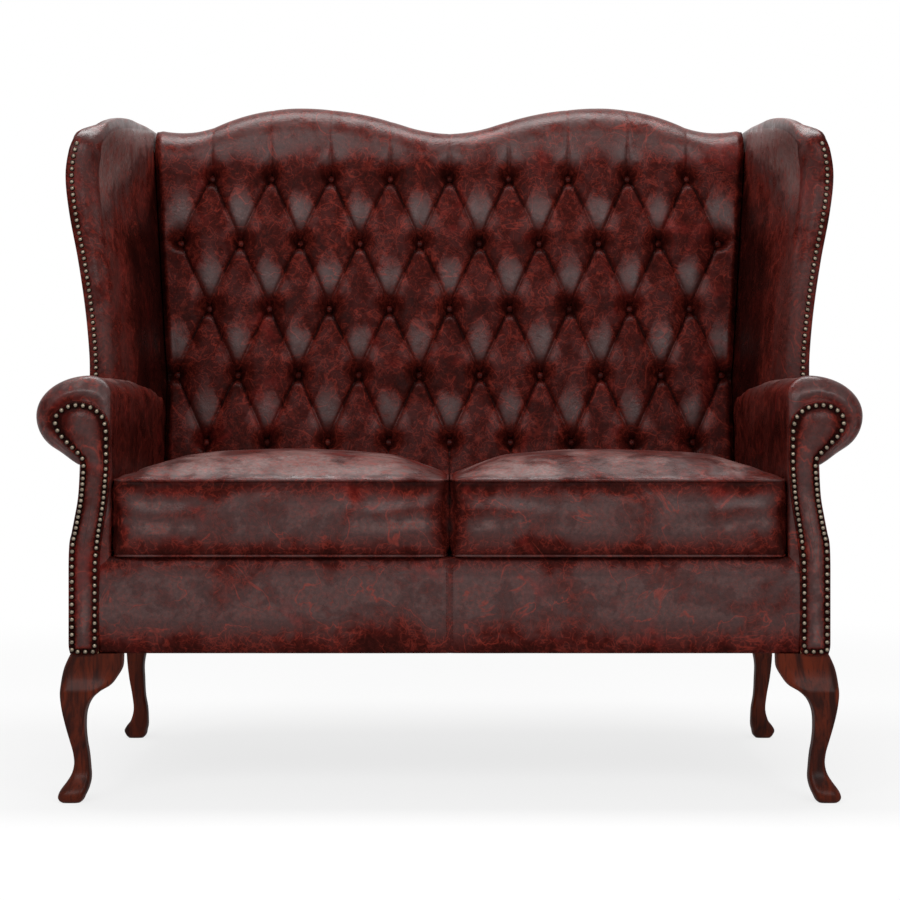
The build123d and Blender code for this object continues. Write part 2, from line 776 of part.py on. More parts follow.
# Put the middle of the depth at the origin and write one file for each piece
boxes = [shape.bounding_box() for shape in nodes.values()]
front_most = min(box.min.Y for box in boxes)
back_most = max(box.max.Y for box in boxes)
shift = -(front_most + back_most) / 2
os.makedirs("parts", exist_ok=True)
for name, shape in nodes.items():
    export_step(Pos(0, shift, 0) * shape, f"parts/{name}.step")
print("pieces", len(nodes), "depth", round(back_most - front_most, 2), "shift", round(shift, 3))
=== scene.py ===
import bpy
import math
import numpy as np
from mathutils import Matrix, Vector, noise


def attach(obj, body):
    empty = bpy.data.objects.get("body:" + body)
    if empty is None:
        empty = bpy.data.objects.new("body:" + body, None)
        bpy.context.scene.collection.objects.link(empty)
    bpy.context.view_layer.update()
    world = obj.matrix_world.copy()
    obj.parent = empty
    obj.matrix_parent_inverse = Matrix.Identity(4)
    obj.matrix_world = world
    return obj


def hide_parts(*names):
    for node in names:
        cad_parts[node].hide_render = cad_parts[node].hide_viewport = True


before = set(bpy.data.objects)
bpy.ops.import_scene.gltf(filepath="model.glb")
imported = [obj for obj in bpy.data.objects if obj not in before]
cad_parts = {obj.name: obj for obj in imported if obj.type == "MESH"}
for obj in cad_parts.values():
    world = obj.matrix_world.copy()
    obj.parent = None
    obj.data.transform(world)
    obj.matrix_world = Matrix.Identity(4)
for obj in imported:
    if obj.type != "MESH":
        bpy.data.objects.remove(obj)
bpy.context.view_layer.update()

scene = bpy.context.scene
sides = [("right", 1), ("left", -1)]

# sizes shared by several pieces, in metres
sofa = {"armFront": -0.406043, "legTop": 0.23, "deckTop": 0.38, "innerHalf": 0.526, "armHeight": 0.662,
        "backHeight": 1.193, "backFlare": 0.044, "backFoot": 0.212529, "rake": math.radians(11.0),
        "padCrown": 0.084, "frameDepth": 0.045, "neckX": 0.577, "neckHeight": 0.523, "panelBack": 0.25865}
rakeSin = math.sin(sofa["rake"])
rakeCos = math.cos(sofa["rake"])


def ease(low, high, x):
    t = np.clip((np.asarray(x, float) - low) / (high - low), 0.0, 1.0)
    return t * t * (3 - 2 * t)


def mix(a, b, t):
    return a + (b - a) * t


def ripple(x, y, z, size):
    return noise.noise((x / size, y / size, z / size))


def curve(points, x):
    # smooth line through points given as (x, value)
    xs = [p[0] for p in points]
    vs = [p[1] for p in points]
    if x <= xs[0]:
        return vs[0]
    if x >= xs[-1]:
        return vs[-1]
    k = max(i for i in range(len(xs) - 1) if xs[i] <= x)

    def slope(i):
        lo, hi = max(0, i - 1), min(len(xs) - 1, i + 1)
        return (vs[hi] - vs[lo]) / (xs[hi] - xs[lo])
    span = xs[k + 1] - xs[k]
    t = (x - xs[k]) / span
    a, b = slope(k) * span, slope(k + 1) * span
    return ((2 * t**3 - 3 * t**2 + 1) * vs[k] + (t**3 - 2 * t**2 + t) * a
            + (3 * t**2 - 2 * t**3) * vs[k + 1] + (t**3 - t**2) * b)


def aboveArm(z):
    # 0 up to the top of the arms, 1 at the top of the back
    return np.maximum(0.0, (z - sofa["armHeight"]) / (sofa["backHeight"] - sofa["armHeight"]))


def innerX(z):
    return sofa["innerHalf"] + sofa["backFlare"] * aboveArm(z)


def frameY(z):
    return sofa["backFoot"] + (z - sofa["deckTop"]) * rakeSin / rakeCos


def backPoint(x, v, w):
    # x across, v up along the raked frame, w out from it
    return np.stack([x, sofa["backFoot"] + v * rakeSin - w * rakeCos,
                     sofa["deckTop"] + v * rakeCos + w * rakeSin], axis=-1)


def runLength(line):
    # how far along a line each of its points is
    return np.concatenate([[0], np.cumsum(np.linalg.norm(np.diff(line, axis=0), axis=1))])


def resample(points, count, closed=False):
    # points spaced evenly along a line
    pts = np.asarray(points, float)
    if closed:
        pts = np.vstack([pts, pts[:1]])
    length = runLength(pts)
    at = np.linspace(0, length[-1], count + 1)[:-1] if closed else np.linspace(0, length[-1], count)
    return np.stack([np.interp(at, length, pts[:, k]) for k in range(pts.shape[1])], axis=1)


def rounded(points, count, steps=14):
    # a smooth open line through a few points, spaced evenly
    pts = [np.asarray(p, float) for p in points]
    out = []
    for i in range(len(pts) - 1):
        b, c = pts[i], pts[i + 1]
        a = pts[i - 1] if i > 0 else 2 * b - c
        d = pts[i + 2] if i + 2 < len(pts) else 2 * c - b
        for s in range(steps):
            t = s / steps
            out.append(0.5 * (2 * b + (c - a) * t + (2 * a - 5 * b + 4 * c - d) * t * t
                              + (3 * b - a - 3 * c + d) * t**3))
    return resample(out + [pts[-1]], count)


def smoothed(line, passes):
    # a closed line with its corners softened
    for k in range(passes):
        line = (np.roll(line, 1, axis=0) + 2 * line + np.roll(line, -1, axis=0)) / 4
    return line


def outward(line, closed=False):
    # unit normals to the right of a flat line
    if closed:
        along = np.roll(line, -1, axis=0) - np.roll(line, 1, axis=0)
    else:
        along = np.gradient(line, axis=0)
    normal = np.stack([along[:, 1], -along[:, 0]], axis=1)
    return normal / np.maximum(1e-9, np.linalg.norm(normal, axis=1))[:, None]


def upright(flat, y):
    # a line of x and z, set at depth y
    return np.stack([flat[:, 0], np.broadcast_to(y, len(flat)), flat[:, 1]], axis=1)


def meshOf(name, points, faces, wearAndLight=None):
    mesh = bpy.data.meshes.new(name)
    mesh.from_pydata(np.asarray(points, float).tolist(), [], faces)
    mesh.polygons.foreach_set("use_smooth", [True] * len(mesh.polygons))
    if wearAndLight is None:
        wearAndLight = np.full(len(points), 0.7)
    # the mark holds rubbed wear together with painted highlights, painted sheen and painted shade; leather
    # and metal colours follow it
    mark = mesh.attributes.new("wearAndLight", "FLOAT", "POINT")
    mark.data.foreach_set("value", np.asarray(wearAndLight, np.float32).ravel())
    obj = bpy.data.objects.new(name, mesh)
    scene.collection.objects.link(obj)
    return obj


def gridFaces(rows, cols, start=0, roundRow=False):
    # roundRow joins the last point of each row to its first
    faces = []
    for r in range(rows - 1):
        low, high = start + r * cols, start + (r + 1) * cols
        for c in range(cols if roundRow else cols - 1):
            d = (c + 1) % cols
            faces.append((low + c, low + d, high + d, high + c))
    return faces


def surface(name, points, wearAndLight=None, roundRow=False, side=1, flip=False):
    # points is rows by columns by 3, side -1 gives the mirror image, and flip turns the faces over
    pts = np.array(points, float)
    pts[..., 0] *= side
    faces = gridFaces(*pts.shape[:2], 0, roundRow)
    if (side < 0) != flip:
        faces = [f[::-1] for f in faces]
    return meshOf(name, pts.reshape(-1, 3), faces, wearAndLight)


def joined(name, grids, roundRow=False):
    # several grids in one piece
    points, faces = [], []
    for grid in grids:
        start = sum(len(p) for p in points)
        points.append(grid.reshape(-1, 3))
        faces += gridFaces(*grid.shape[:2], start, roundRow)
    return meshOf(name, np.concatenate(points), faces)


def dress(obj, slot, nodes=(), body="frame"):
    # finish, body and the nodes it stands for
    obj.data.materials.clear()
    obj.data.materials.append(paints[slot])
    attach(obj, body)
    if nodes:
        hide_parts(*nodes)


def dressSides(*items):
    # each item is how it is made, its name, slot, node and padding
    for sideName, side in sides:
        for make, piece, slot, node, fill in items:
            dress(make(sideName + "_" + piece, side), slot, [sideName + "_" + node])


# finishes
class Paint:
    def __init__(self, name):
        self.material = bpy.data.materials.new(name)
        self.material.use_nodes = True
        self.tree = self.material.node_tree
        self.shader = self.tree.nodes["Principled BSDF"]
        self.place = self.add("ShaderNodeTexCoord").outputs["Object"]

    def add(self, kind, **fields):
        made = self.tree.nodes.new(kind)
        for key, value in fields.items():
            setattr(made, key, value)
        return made

    def put(self, value, socket):
        if isinstance(value, bpy.types.NodeSocket):
            self.tree.links.new(value, socket)
        elif isinstance(value, tuple) and len(value) == 3 and socket.type == "RGBA":
            socket.default_value = (*value, 1.0)
        else:
            socket.default_value = value

    def fill(self, made, **values):
        # values or links for the named sockets of a node
        for key, value in values.items():
            self.put(value, made.inputs[key.replace("_", " ")])
        return made

    def set(self, **values):
        self.fill(self.shader, **values)

    def noise(self, scale, detail=4.0, rough=0.55, bend=0.0, place=None):
        made = self.add("ShaderNodeTexNoise")
        self.fill(made, Vector=place or self.place, Scale=scale, Detail=detail, Roughness=rough,
                  Distortion=bend)
        return made.outputs[0]

    def cells(self, scale):
        made = self.add("ShaderNodeTexVoronoi", feature="F1")
        return self.fill(made, Vector=self.place, Scale=scale).outputs["Distance"]

    def span(self, value, low, high, first=0.0, last=1.0):
        made = self.add("ShaderNodeMapRange", interpolation_type="SMOOTHSTEP")
        for socket, item in zip(made.inputs, (value, low, high, first, last)):
            self.put(item, socket)
        return made.outputs[0]

    def math(self, what, a, b=0.0):
        made = self.add("ShaderNodeMath", operation=what)
        self.put(a, made.inputs[0])
        self.put(b, made.inputs[1])
        return made.outputs[0]

    def times(self, a, b):
        return self.math("MULTIPLY", a, b)

    def plus(self, a, b):
        return self.math("ADD", a, b)

    def most(self, a, b):
        return self.math("MAXIMUM", a, b)

    def centred(self, value):
        return self.math("SUBTRACT", value, 0.5)

    def ramp(self, value, stops):
        # stops are position and colour, the ramp's own two first
        made = self.add("ShaderNodeValToRGB")
        steps = made.color_ramp.elements
        for k, (position, colour) in enumerate(stops):
            step = steps[k] if k < 2 else steps.new(position)
            step.position = position
            step.color = (*colour, 1.0)
        self.put(value, made.inputs[0])
        return made.outputs[0]

    def blend(self, share, a, b, kind="MIX"):
        made = self.add("ShaderNodeMix", data_type="RGBA", blend_type=kind)
        for k, value in ((0, share), (6, a), (7, b)):
            self.put(value, made.inputs[k])
        return made.outputs[2]

    def mapped(self, scale=(1, 1, 1), move=(0, 0, 0)):
        made = self.add("ShaderNodeMapping")
        return self.fill(made, Vector=self.place, Scale=scale, Location=move).outputs[0]

    def mark(self, name):
        return self.add("ShaderNodeAttribute", attribute_name=name).outputs["Fac"]

    def bump(self, *layers):
        # each layer is height, strength, distance
        normal = None
        for height, strength, distance in layers:
            made = self.fill(self.add("ShaderNodeBump"), Height=height, Strength=strength, Distance=distance)
            if normal is not None:
                self.put(normal, made.inputs["Normal"])
            normal = made.outputs["Normal"]
        self.set(Normal=normal)


def seenDirectly(tree):
    # 1 for what the camera sees, also in mirrors and through glass, 0 for the light that falls on things
    rays = tree.nodes.new("ShaderNodeLightPath")
    found = rays.outputs["Is Camera Ray"]
    for kind in ("Is Glossy Ray", "Is Transmission Ray"):
        either = tree.nodes.new("ShaderNodeMath")
        either.operation = "MAXIMUM"
        tree.links.new(found, either.inputs[0])
        tree.links.new(rays.outputs[kind], either.inputs[1])
        found = either.outputs[0]
    return found


def mixShaders(tree, end, *sockets):
    # share, first and second shader, led into the output
    both = tree.nodes.new("ShaderNodeMixShader")
    for k, socket in enumerate(sockets):
        tree.links.new(socket, both.inputs[k])
    tree.links.new(both.outputs[0], tree.nodes[end].inputs[0])


def leather(name, look):
    # rubbed grey-brown where it is worn and pale where highlights and sheen are painted on, deep red with
    # fine cracks towards seams and hollows, darkened where the mark is low as painted shade
    p = Paint(name)
    wearAndLight = p.mark("wearAndLight")
    broad = p.noise(look["patchScale"], 3.0, 0.6, 0.6)
    small = p.noise(look["grainScale"], 5.0, 0.62)
    # the calm mark holds back the irregular patches
    patch = p.times(p.math("SUBTRACT", 1.0, p.mark("calm")), look["patchShare"])
    level = p.plus(wearAndLight, p.times(p.centred(broad), patch))
    level = p.plus(level, p.times(p.centred(small), look["grainShare"]))
    level = p.math("MINIMUM", level, p.plus(wearAndLight, look["overMark"]))
    colour = p.ramp(p.times(level, 1 / look["palestMark"]), look["tones"])
    blood = p.span(p.noise(look["bloodScale"], 3.0, 0.6, 0.6, p.mapped(move=(3.1, 1.7, 0.4))), 0.57, 0.74)
    colour = p.blend(p.times(blood, look["bloodShare"]), colour, look["blood"])

    def hairline(scale, detail, bend, width, move):
        field = p.noise(scale, detail, 0.5, bend, p.mapped(move=move))
        return p.span(p.math("ABSOLUTE", p.centred(field)), 0.0, width, 1.0, 0.0)
    coarse, fine, vein = (hairline(*line) for line in look["hairlines"])
    dense = p.most(p.span(level, 0.45, 0.95, 1.0, look["crackOnRub"]), p.span(level, 1.0, 1.25))
    dense = p.times(dense, p.span(level, -0.05, 0.35, 0.22, 1.0))
    cracks = p.times(p.times(p.most(coarse, fine), dense), look["crackShare"])
    veins = p.times(p.times(vein, p.span(small, 0.4, 0.54)), look["veinShare"])
    colour = p.blend(p.most(cracks, veins), colour, look["vein"])
    # painted shade: the colour is darkened where the mark is low, in pockets, creases, nail beds and inner
    # faces
    shade = p.times(p.span(p.noise(look["fineScale"], 3.0, 0.6), 0.25, 0.75, 0.74, 1.24),
                    p.span(wearAndLight, 0.0, 0.32, look["hollowShade"], 1.0))
    height = p.plus(p.times(p.noise(34.0, 3.0, 0.6, 0.5), 0.8), p.times(p.cells(300.0), 0.1))
    p.bump((height, 0.3, 0.004))
    p.set(Base_Color=p.blend(1.0, colour, shade, "MULTIPLY"),
          Roughness=p.span(small, 0.3, 0.7, look["rough"] - 0.07, look["rough"] + 0.08),
          Specular_IOR_Level=p.span(level, 0.15, 1.0, look["dull"], look["shine"]), IOR=1.36)
    return p.material


leatherLook = {
    # the stop at 1.0 is the pale tone of painted highlights and sheen
    "tones": [(0.0, (0.026, 0.004, 0.003)), (0.93, (0.115, 0.062, 0.057)),
        (0.17, (0.044, 0.0056, 0.0042)), (0.33, (0.051, 0.0075, 0.0058)), (0.5, (0.05, 0.0115, 0.0095)),
        (0.68, (0.045, 0.016, 0.0148)), (1.0, (0.138, 0.078, 0.072))],
    "hairlines": [(30.0, 4.0, 1.0, 0.026, (0, 0, 0)), (52.0, 3.0, 0.9, 0.028, (5, 2, 1)),
        (9.5, 4.5, 1.0, 0.013, (2, 7, 3))],
    "blood": (0.15, 0.011, 0.009), "bloodScale": 11.0, "bloodShare": 0.45, "vein": (0.2, 0.024, 0.015),
    "veinShare": 0.62, "crackShare": 0.46, "crackOnRub": 0.3, "patchScale": 9.0, "patchShare": 2.0,
    "grainScale": 30.0, "grainShare": 1.2, "fineScale": 140.0, "overMark": 0.1, "palestMark": 1.5,
    "hollowShade": 0.26, "rough": 0.33, "shine": 0.42, "dull": 0.03}
paints = {"leather": leather("leather", leatherLook)}


def wood(name, look):
    p = Paint(name)
    rings = p.noise(look["ringScale"], 6.0, 0.6, 1.4, p.mapped((1, 1, 0.12)))
    pores = p.span(p.noise(260.0, 2.0, 0.5, 0.0, p.mapped((1, 1, 0.04))), 0.56, 0.72)
    colour = p.blend(p.span(rings, 0.35, 0.65), look["dark"], look["light"])
    p.set(Base_Color=p.blend(p.times(pores, 0.55), colour, look["pore"]),
          Roughness=p.span(p.noise(20.0), 0.3, 0.7, look["rough"] - 0.05, look["rough"] + 0.08),
          Coat_Weight=look["coat"], Coat_Roughness=0.28, Specular_IOR_Level=look["shine"])
    p.bump((pores, 0.15, -0.0004), (rings, 0.05, 0.001))
    return p.material


paints["mahogany"] = wood("mahogany", {"dark": (0.02, 0.0036, 0.0018), "light": (0.098, 0.014, 0.0045),
                                       "pore": (0.01, 0.002, 0.0012), "ringScale": 30.0, "rough": 0.29,
                                       "coat": 0.17, "shine": 0.0})
paints["beech"] = wood("beech", {"dark": (0.38, 0.22, 0.11), "light": (0.56, 0.36, 0.2), "shine": 0.4,
                                 "pore": (0.25, 0.13, 0.06), "ringScale": 14.0, "rough": 0.55, "coat": 0.0})


def metal(name, look):
    # bright where the wear-and-light mark is high, which on the nails is a painted highlight on the top of
    # each dome, darkened round it as painted shade, with random tarnish patches
    p = Paint(name)
    tarnishAndShade = p.most(p.times(p.span(p.noise(90.0, 4.0, 0.6), 0.4, 0.75), 0.7),
                   p.span(p.mark("wearAndLight"), 0.15, 0.75, 1.0, 0.0))
    p.set(Base_Color=p.blend(tarnishAndShade, look["bright"], look["dull"]), Metallic=1.0,
          Roughness=p.span(p.noise(220.0, 3.0), 0.3, 0.7, look["rough"] - 0.08, look["rough"] + 0.14))
    p.bump((p.noise(420.0, 3.0), 0.15, 0.0003))
    return p.material


paints["brass"] = metal("brass", {"bright": (0.25, 0.205, 0.155), "dull": (0.02, 0.012, 0.008),
                                  "rough": 0.34})
paints["steel"] = metal("steel", {"bright": (0.5, 0.5, 0.52), "dull": (0.3, 0.3, 0.31), "rough": 0.4})


def cloth(name, look):
    p = Paint(name)
    warp, weft = (p.add("ShaderNodeTexWave", bands_direction=way) for way in ("X", "Y"))
    for made in (warp, weft):
        p.fill(made, Vector=p.place, Scale=look["threads"], Distortion=1.2)
    weave = p.times(warp.outputs["Fac"], weft.outputs["Fac"])
    colour = p.blend(p.span(p.noise(8.0, 5.0), 0.35, 0.7), look["dark"], look["light"])
    p.set(Base_Color=p.blend(p.times(weave, 0.4), colour, look["thread"]), Roughness=0.9, Sheen_Weight=0.15)
    p.bump((weave, 0.4, 0.0008))
    return p.material


paints["lining"] = cloth("lining", {"dark": (0.012, 0.011, 0.011), "light": (0.024, 0.021, 0.02),
                                    "thread": (0.05, 0.045, 0.042), "threads": 180.0})
paints["webbing"] = cloth("webbing", {"dark": (0.2, 0.13, 0.07), "light": (0.3, 0.21, 0.12),
                                      "thread": (0.42, 0.33, 0.22), "threads": 120.0})
paints["foam"] = cloth("foam", {"dark": (0.62, 0.55, 0.36), "light": (0.72, 0.66, 0.46),
                                "thread": (0.52, 0.45, 0.3), "threads": 70.0})
print("stage finishes", len(paints))

# carried-over frame pieces
for nodeName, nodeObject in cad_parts.items():
    slotName = "mahogany" if "leg" in nodeName else "beech"
    slotName = "steel" if "bolt" in nodeName else slotName
    nodeObject.data.materials.clear()
    nodeObject.data.materials.append(paints[slotName])

# turned-out legs; each level is height, how far it stands out past the corner, length of the ears and,
# where it differs from that, thickness
leg = {
    "corner": 0.594, "count": 72, "levels": 110, "soften": 9, "footSoften": 34, "kneeFrom": 0.142,
    "knee": [(0.1173, 0.0013), (0.142, 0.0063), (0.16, 0.0104), (0.169, 0.011), (0.175, 0.0094),
        (0.182, 0.0063), (0.189, 0.0032), (0.197, 0.0006), (0.208, -0.002), (0.23, -0.0045)],
    "front": [(0.0, 0.0065, 0.029), (0.003, 0.0105, 0.0365), (0.009, 0.0126, 0.0415),
        (0.018, 0.0096, 0.0425), (0.0303, 0.001, 0.0368), (0.04, -0.005, 0.031),
        (0.0494, -0.0084, 0.0266), (0.0612, -0.01, 0.0238), (0.0766, -0.0084, 0.0238),
        (0.092, -0.0048, 0.0252), (0.1173, 0.0013, 0.0298), (0.142, 0.0063, 0.037, 0.036),
        (0.16, 0.0085, 0.048, 0.039), (0.1723, 0.0094, 0.063, 0.04), (0.18, 0.0095, 0.0766, 0.04),
        (0.1939, 0.0086, 0.0865, 0.039), (0.2078, 0.0058, 0.0914, 0.037), (0.2237, -0.001, 0.086, 0.035),
        (0.23, -0.0045, 0.0825, 0.034)],
    "rear": [(0.0, 0.012, 0.028), (0.005, 0.0165, 0.037), (0.0138, 0.02, 0.0425), (0.023, 0.015, 0.04),
        (0.0334, 0.007, 0.033), (0.0552, 0.001, 0.026), (0.0805, 0.004, 0.024), (0.1104, 0.01, 0.0275),
        (0.1403, 0.014, 0.0305), (0.1702, 0.015, 0.0385), (0.2001, 0.014, 0.0525), (0.23, 0.01, 0.0565)]}


def legRing(ear, thick, passes):
    # an angle seen from above, its outer corner at the origin, with every edge softened
    thick = min(thick, ear)
    corners = [(ear, 0), (0, 0), (0, ear), (thick, ear), (thick, thick), (ear, thick)]
    return smoothed(resample(corners, leg["count"], closed=True), passes)


def makeLeg(name, kind, side):
    y0, way = (sofa["armFront"], 1) if kind == "front" else (sofa["panelBack"], -1)
    rows = []
    for z in sofa["legTop"] * np.linspace(0.0, 1.0, leg["levels"]) ** 1.5:
        out, ear, thick = (curve([(row[0], row[k]) for row in leg[kind]], z) for k in (1, 2, -1))
        ahead = curve(leg["knee"], z) if way > 0 and z > leg["kneeFrom"] else out
        passes = round(float(mix(leg["footSoften"], leg["soften"], ease(0.03, 0.07, z))))
        ring = legRing(ear, thick, passes)
        rows.append(np.stack([leg["corner"] + out - ring[:, 0], y0 - way * (ahead - ring[:, 1]),
                              np.full(len(ring), z)], axis=1))
    centre = rows[0].mean(axis=0)
    ends = [centre + (rows[0] - centre) * s for s in (0.02, 0.85)]
    return surface(name, ends + rows, roundRow=True, side=side, flip=way < 0)


for sideName, side in sides:
    for kind in ("front", "rear"):
        stem = sideName + "_" + kind
        dress(makeLeg(stem + "_carved_leg", kind, side), "mahogany", [stem + "_leg"])
print("stage legs")

# tufted back
tuft = {"pitch": 0.113, "row": 0.128, "first": 0.17, "rowCount": 5, "crown": 0.085, "drop": 0.0095,
        "groove": 0.0052, "grooveWide": 0.002, "pocket": 0.025, "pocketWide": 0.015, "swell": 0.45,
        "cols": 480, "rows": 290, "roundV": 0.062, "roundW": 0.048, "hump": 0.288, "dipX": 0.516,
        "humpV": 0.8282, "centreV": 0.7773, "sideV": 0.7783, "lift": 0.006, "humpShare": 0.7, "low": 0.004,
        "calm": 0.65, "edgeDrop": 0.01, "turnIn": 0.03, "fewest": 9}


def topLine(x):
    # the serpentine top, as a height along the raked frame
    ax = np.abs(x)

    def fall(u, drop):
        s = tuft["humpShare"]
        u = np.clip(u, 0.0, 1.0)
        return drop * np.where(u < s, u * u / s, 1 - (1 - u) ** 2 / (1 - s))
    inner = fall((tuft["hump"] - ax) / tuft["hump"], tuft["humpV"] - tuft["centreV"])
    outer = fall((ax - tuft["hump"]) / (tuft["dipX"] - tuft["hump"]), tuft["humpV"] - tuft["sideV"])
    end = tuft["lift"] * np.clip((ax - tuft["dipX"]) / 0.05, 0.0, 1.2) ** 2
    return tuft["humpV"] - np.where(ax < tuft["hump"], inner, outer) + end


def tuftForm(x, v):
    # depth below the crown and the wear-and-light mark: soft diamonds, fine pleats between buttons, round
    # pockets at them, with painted sheen low in each diamond and painted shade round the pockets and along
    # the creases
    pitch, row, first = tuft["pitch"], tuft["row"], tuft["first"]
    last = first + row * (tuft["rowCount"] - 1)
    far = tuft["fewest"] / 2 * pitch
    cv, cx = np.clip(v, first, last), np.clip(x, -far, far)
    r, c = (cv - first) / row, cx / pitch
    s, t = r / 2 + c, r / 2 - c
    ps, pt = s % 1.0, t % 1.0
    pillow = (16 * ps * (1 - ps) * pt * (1 - pt)) ** tuft["swell"]
    spacing = pitch * row / math.hypot(pitch / 2, row)
    near = np.minimum(np.minimum(ps, 1 - ps), np.minimum(pt, 1 - pt)) * spacing
    ds, dt = s - np.round(s), t - np.round(t)
    dx, dv = (ds - dt) * pitch / 2 + x - cx, (ds + dt) * row + v - cv
    away = np.hypot(dx, dv)
    out, beside = np.maximum(v - last, first - v), np.abs(x) - far
    left = 1 - 0.86 * np.maximum(ease(0.0, 0.085, out), ease(0.0, 0.032, beside))
    pleat = np.exp(-near / tuft["grooveWide"]) * (1 - 0.55 * ease(0.015, 0.06, out))
    pleat = pleat * (1 - 0.6 * ease(0.0, 0.02, beside))
    pleat = pleat * (0.5 + 0.5 * np.exp(-away / 0.045))
    pocket = np.exp(-(away / tuft["pocketWide"]) ** 1.7)
    depth = tuft["drop"] * (1 - pillow) * left + tuft["groove"] * pleat + tuft["pocket"] * pocket
    # painted sheen: a grey patch in the lower half of each diamond, where light from above falls
    sheenPatch = np.exp(-(dx / 0.027) ** 2 - ((dv - 0.05) / 0.036) ** 2)
    crease = np.exp(-(near / 0.0018) ** 2) * (1 - ease(0.0, 0.02, beside))
    above = ease(0.015, 0.065, v - last)
    hole = np.exp(-(away / 0.0165) ** 2.5)
    halo = np.exp(-(away / 0.034) ** 2) * (1 - 0.6 * above)
    # lighter above the top row, painted sheen below each button, painted shade in and round the pockets and
    # along the creases
    wearAndLight = mix(0.24, 0.78, above) + 0.86 * sheenPatch * (1 - above) - 0.1 * halo - 0.14 * hole - 0.2 * crease
    return depth, np.clip(wearAndLight, 0.0, 1.0)


def makeBack():
    cols, rows = tuft["cols"], tuft["rows"]
    across = np.linspace(-1, 1, cols)
    topV = topLine(across * innerX(sofa["deckTop"] + 0.79 * rakeCos))
    up = np.linspace(0, 1, rows)[:, None]
    v = tuft["low"] + up * (topV[None, :] - tuft["roundV"] - tuft["low"])
    half = innerX(sofa["deckTop"] + v * rakeCos) - 0.0008
    x = across[None, :] * half
    depth, rubAndLight = tuftForm(x, v)
    fade = ease(0.0, 0.016, half - np.abs(x))
    sunk = tuft["edgeDrop"] * (1 - fade) ** 2
    parts = [backPoint(x, v, tuft["crown"] - depth - sunk)]
    wearAndLightRows = [rubAndLight * (0.25 + 0.75 * fade)]
    # over the top edge and down behind it
    topX, topW = x[-1], tuft["crown"] - tuft["roundW"]
    for turn in np.linspace(0, math.pi / 2, 44)[1:]:
        rise = topV - tuft["roundV"] * (1 - math.sin(turn))
        depth, rubAndLight = tuftForm(topX, rise)
        less = (depth + sunk[-1]) * mix(1.0, 0.35, math.sin(turn) ** 2)
        w = topW + (tuft["roundW"] - less) * math.cos(turn)
        parts.append(backPoint(topX, rise - less * math.sin(turn), w)[None])
        wearAndLightRows.append((mix(rubAndLight, 0.85 * rubAndLight, math.sin(turn)) * (0.25 + 0.75 * fade[-1]))[None])
    for share in np.linspace(0.12, 1.0, 8):
        v = topV - less * (1 - share) - 0.006 * share**3
        parts.append(backPoint(topX, v, np.full(cols, mix(topW, -sofa["frameDepth"], share)))[None])
        wearAndLightRows.append(np.full((1, cols), 0.6))
    points = np.concatenate(parts)
    wearAndLight = np.concatenate(wearAndLightRows)
    # the sides turn in towards the frame
    inset = points.copy()[:, [0, -1]]
    inset[:rows, :, 1] += tuft["turnIn"]
    inset[rows:, :, 2] -= tuft["turnIn"]
    points = np.concatenate([inset[:, :1], points, inset[:, 1:]], axis=1)
    wearAndLight = np.concatenate([wearAndLight[:, :1] * 0.2, wearAndLight, wearAndLight[:, -1:] * 0.2], axis=1)
    obj = surface("tufted_back", points, wearAndLight)
    calm = obj.data.attributes.new("calm", "FLOAT", "POINT")
    calm.data.foreach_set("value", np.full(wearAndLight.size, tuft["calm"], np.float32))
    return obj


dress(makeBack(), "leather", ["tufted_back_pad"])


def lathe(profile, count):
    # profile of (radius, height) from the middle to the rim, about the z axis
    points = [(0.0, 0.0, profile[0][1])]
    for radius, height in profile[1:]:
        for k in range(count):
            a = 2 * math.pi * k / count
            points.append((radius * math.cos(a), radius * math.sin(a), height))
    faces = [(0, 1 + k, 1 + (k + 1) % count) for k in range(count)]
    for ring in range(len(profile) - 2):
        s = 1 + ring * count
        for k in range(count):
            d = (k + 1) % count
            faces.append((s + k, s + count + k, s + count + d, s + d))
    return np.array(points), faces


def stamped(name, form, spots):
    # copies of one small turned form; each spot is a place and its three directions
    points, faces = lathe(form["form"], form["count"])
    wearAndLight = np.concatenate([form["middle"], np.repeat(form["rings"], form["count"])])
    allPoints, allFaces = [], []
    for n, (place, *ways) in enumerate(spots):
        allPoints.append(points @ np.array(ways) + np.array(place))
        allFaces += [tuple(n * len(points) + i for i in f) for f in faces]
    return meshOf(name, np.concatenate(allPoints), allFaces, np.tile(wearAndLight, len(spots)))


# the buttons' mark falls from the middle to the rim: painted shade of the pocket
button = {"form": [(0, 0.0105), (0.0036, 0.0101), (0.0066, 0.0086), (0.0088, 0.006), (0.0096, 0.0025),
                   (0.0085, -0.002)], "count": 16, "middle": [0.28], "rings": [0.26, 0.2, 0.14, 0.08, 0.04]}


def makeButtons(name):
    spots = []
    sunk = tuft["crown"] - tuft["drop"] - tuft["groove"] - tuft["pocket"]
    for row in range(tuft["rowCount"]):
        count = tuft["fewest"] + row % 2
        for k in range(count):
            x = (k - (count - 1) / 2) * tuft["pitch"]
            place = backPoint(x, tuft["first"] + row * tuft["row"], sunk)
            spots.append((place, (1, 0, 0), (0, rakeSin, rakeCos), (0, -rakeCos, rakeSin)))
    return stamped(name, button, spots)


dress(makeButtons("tufting_buttons"), "leather", ["back_buttons"])
print("stage back")

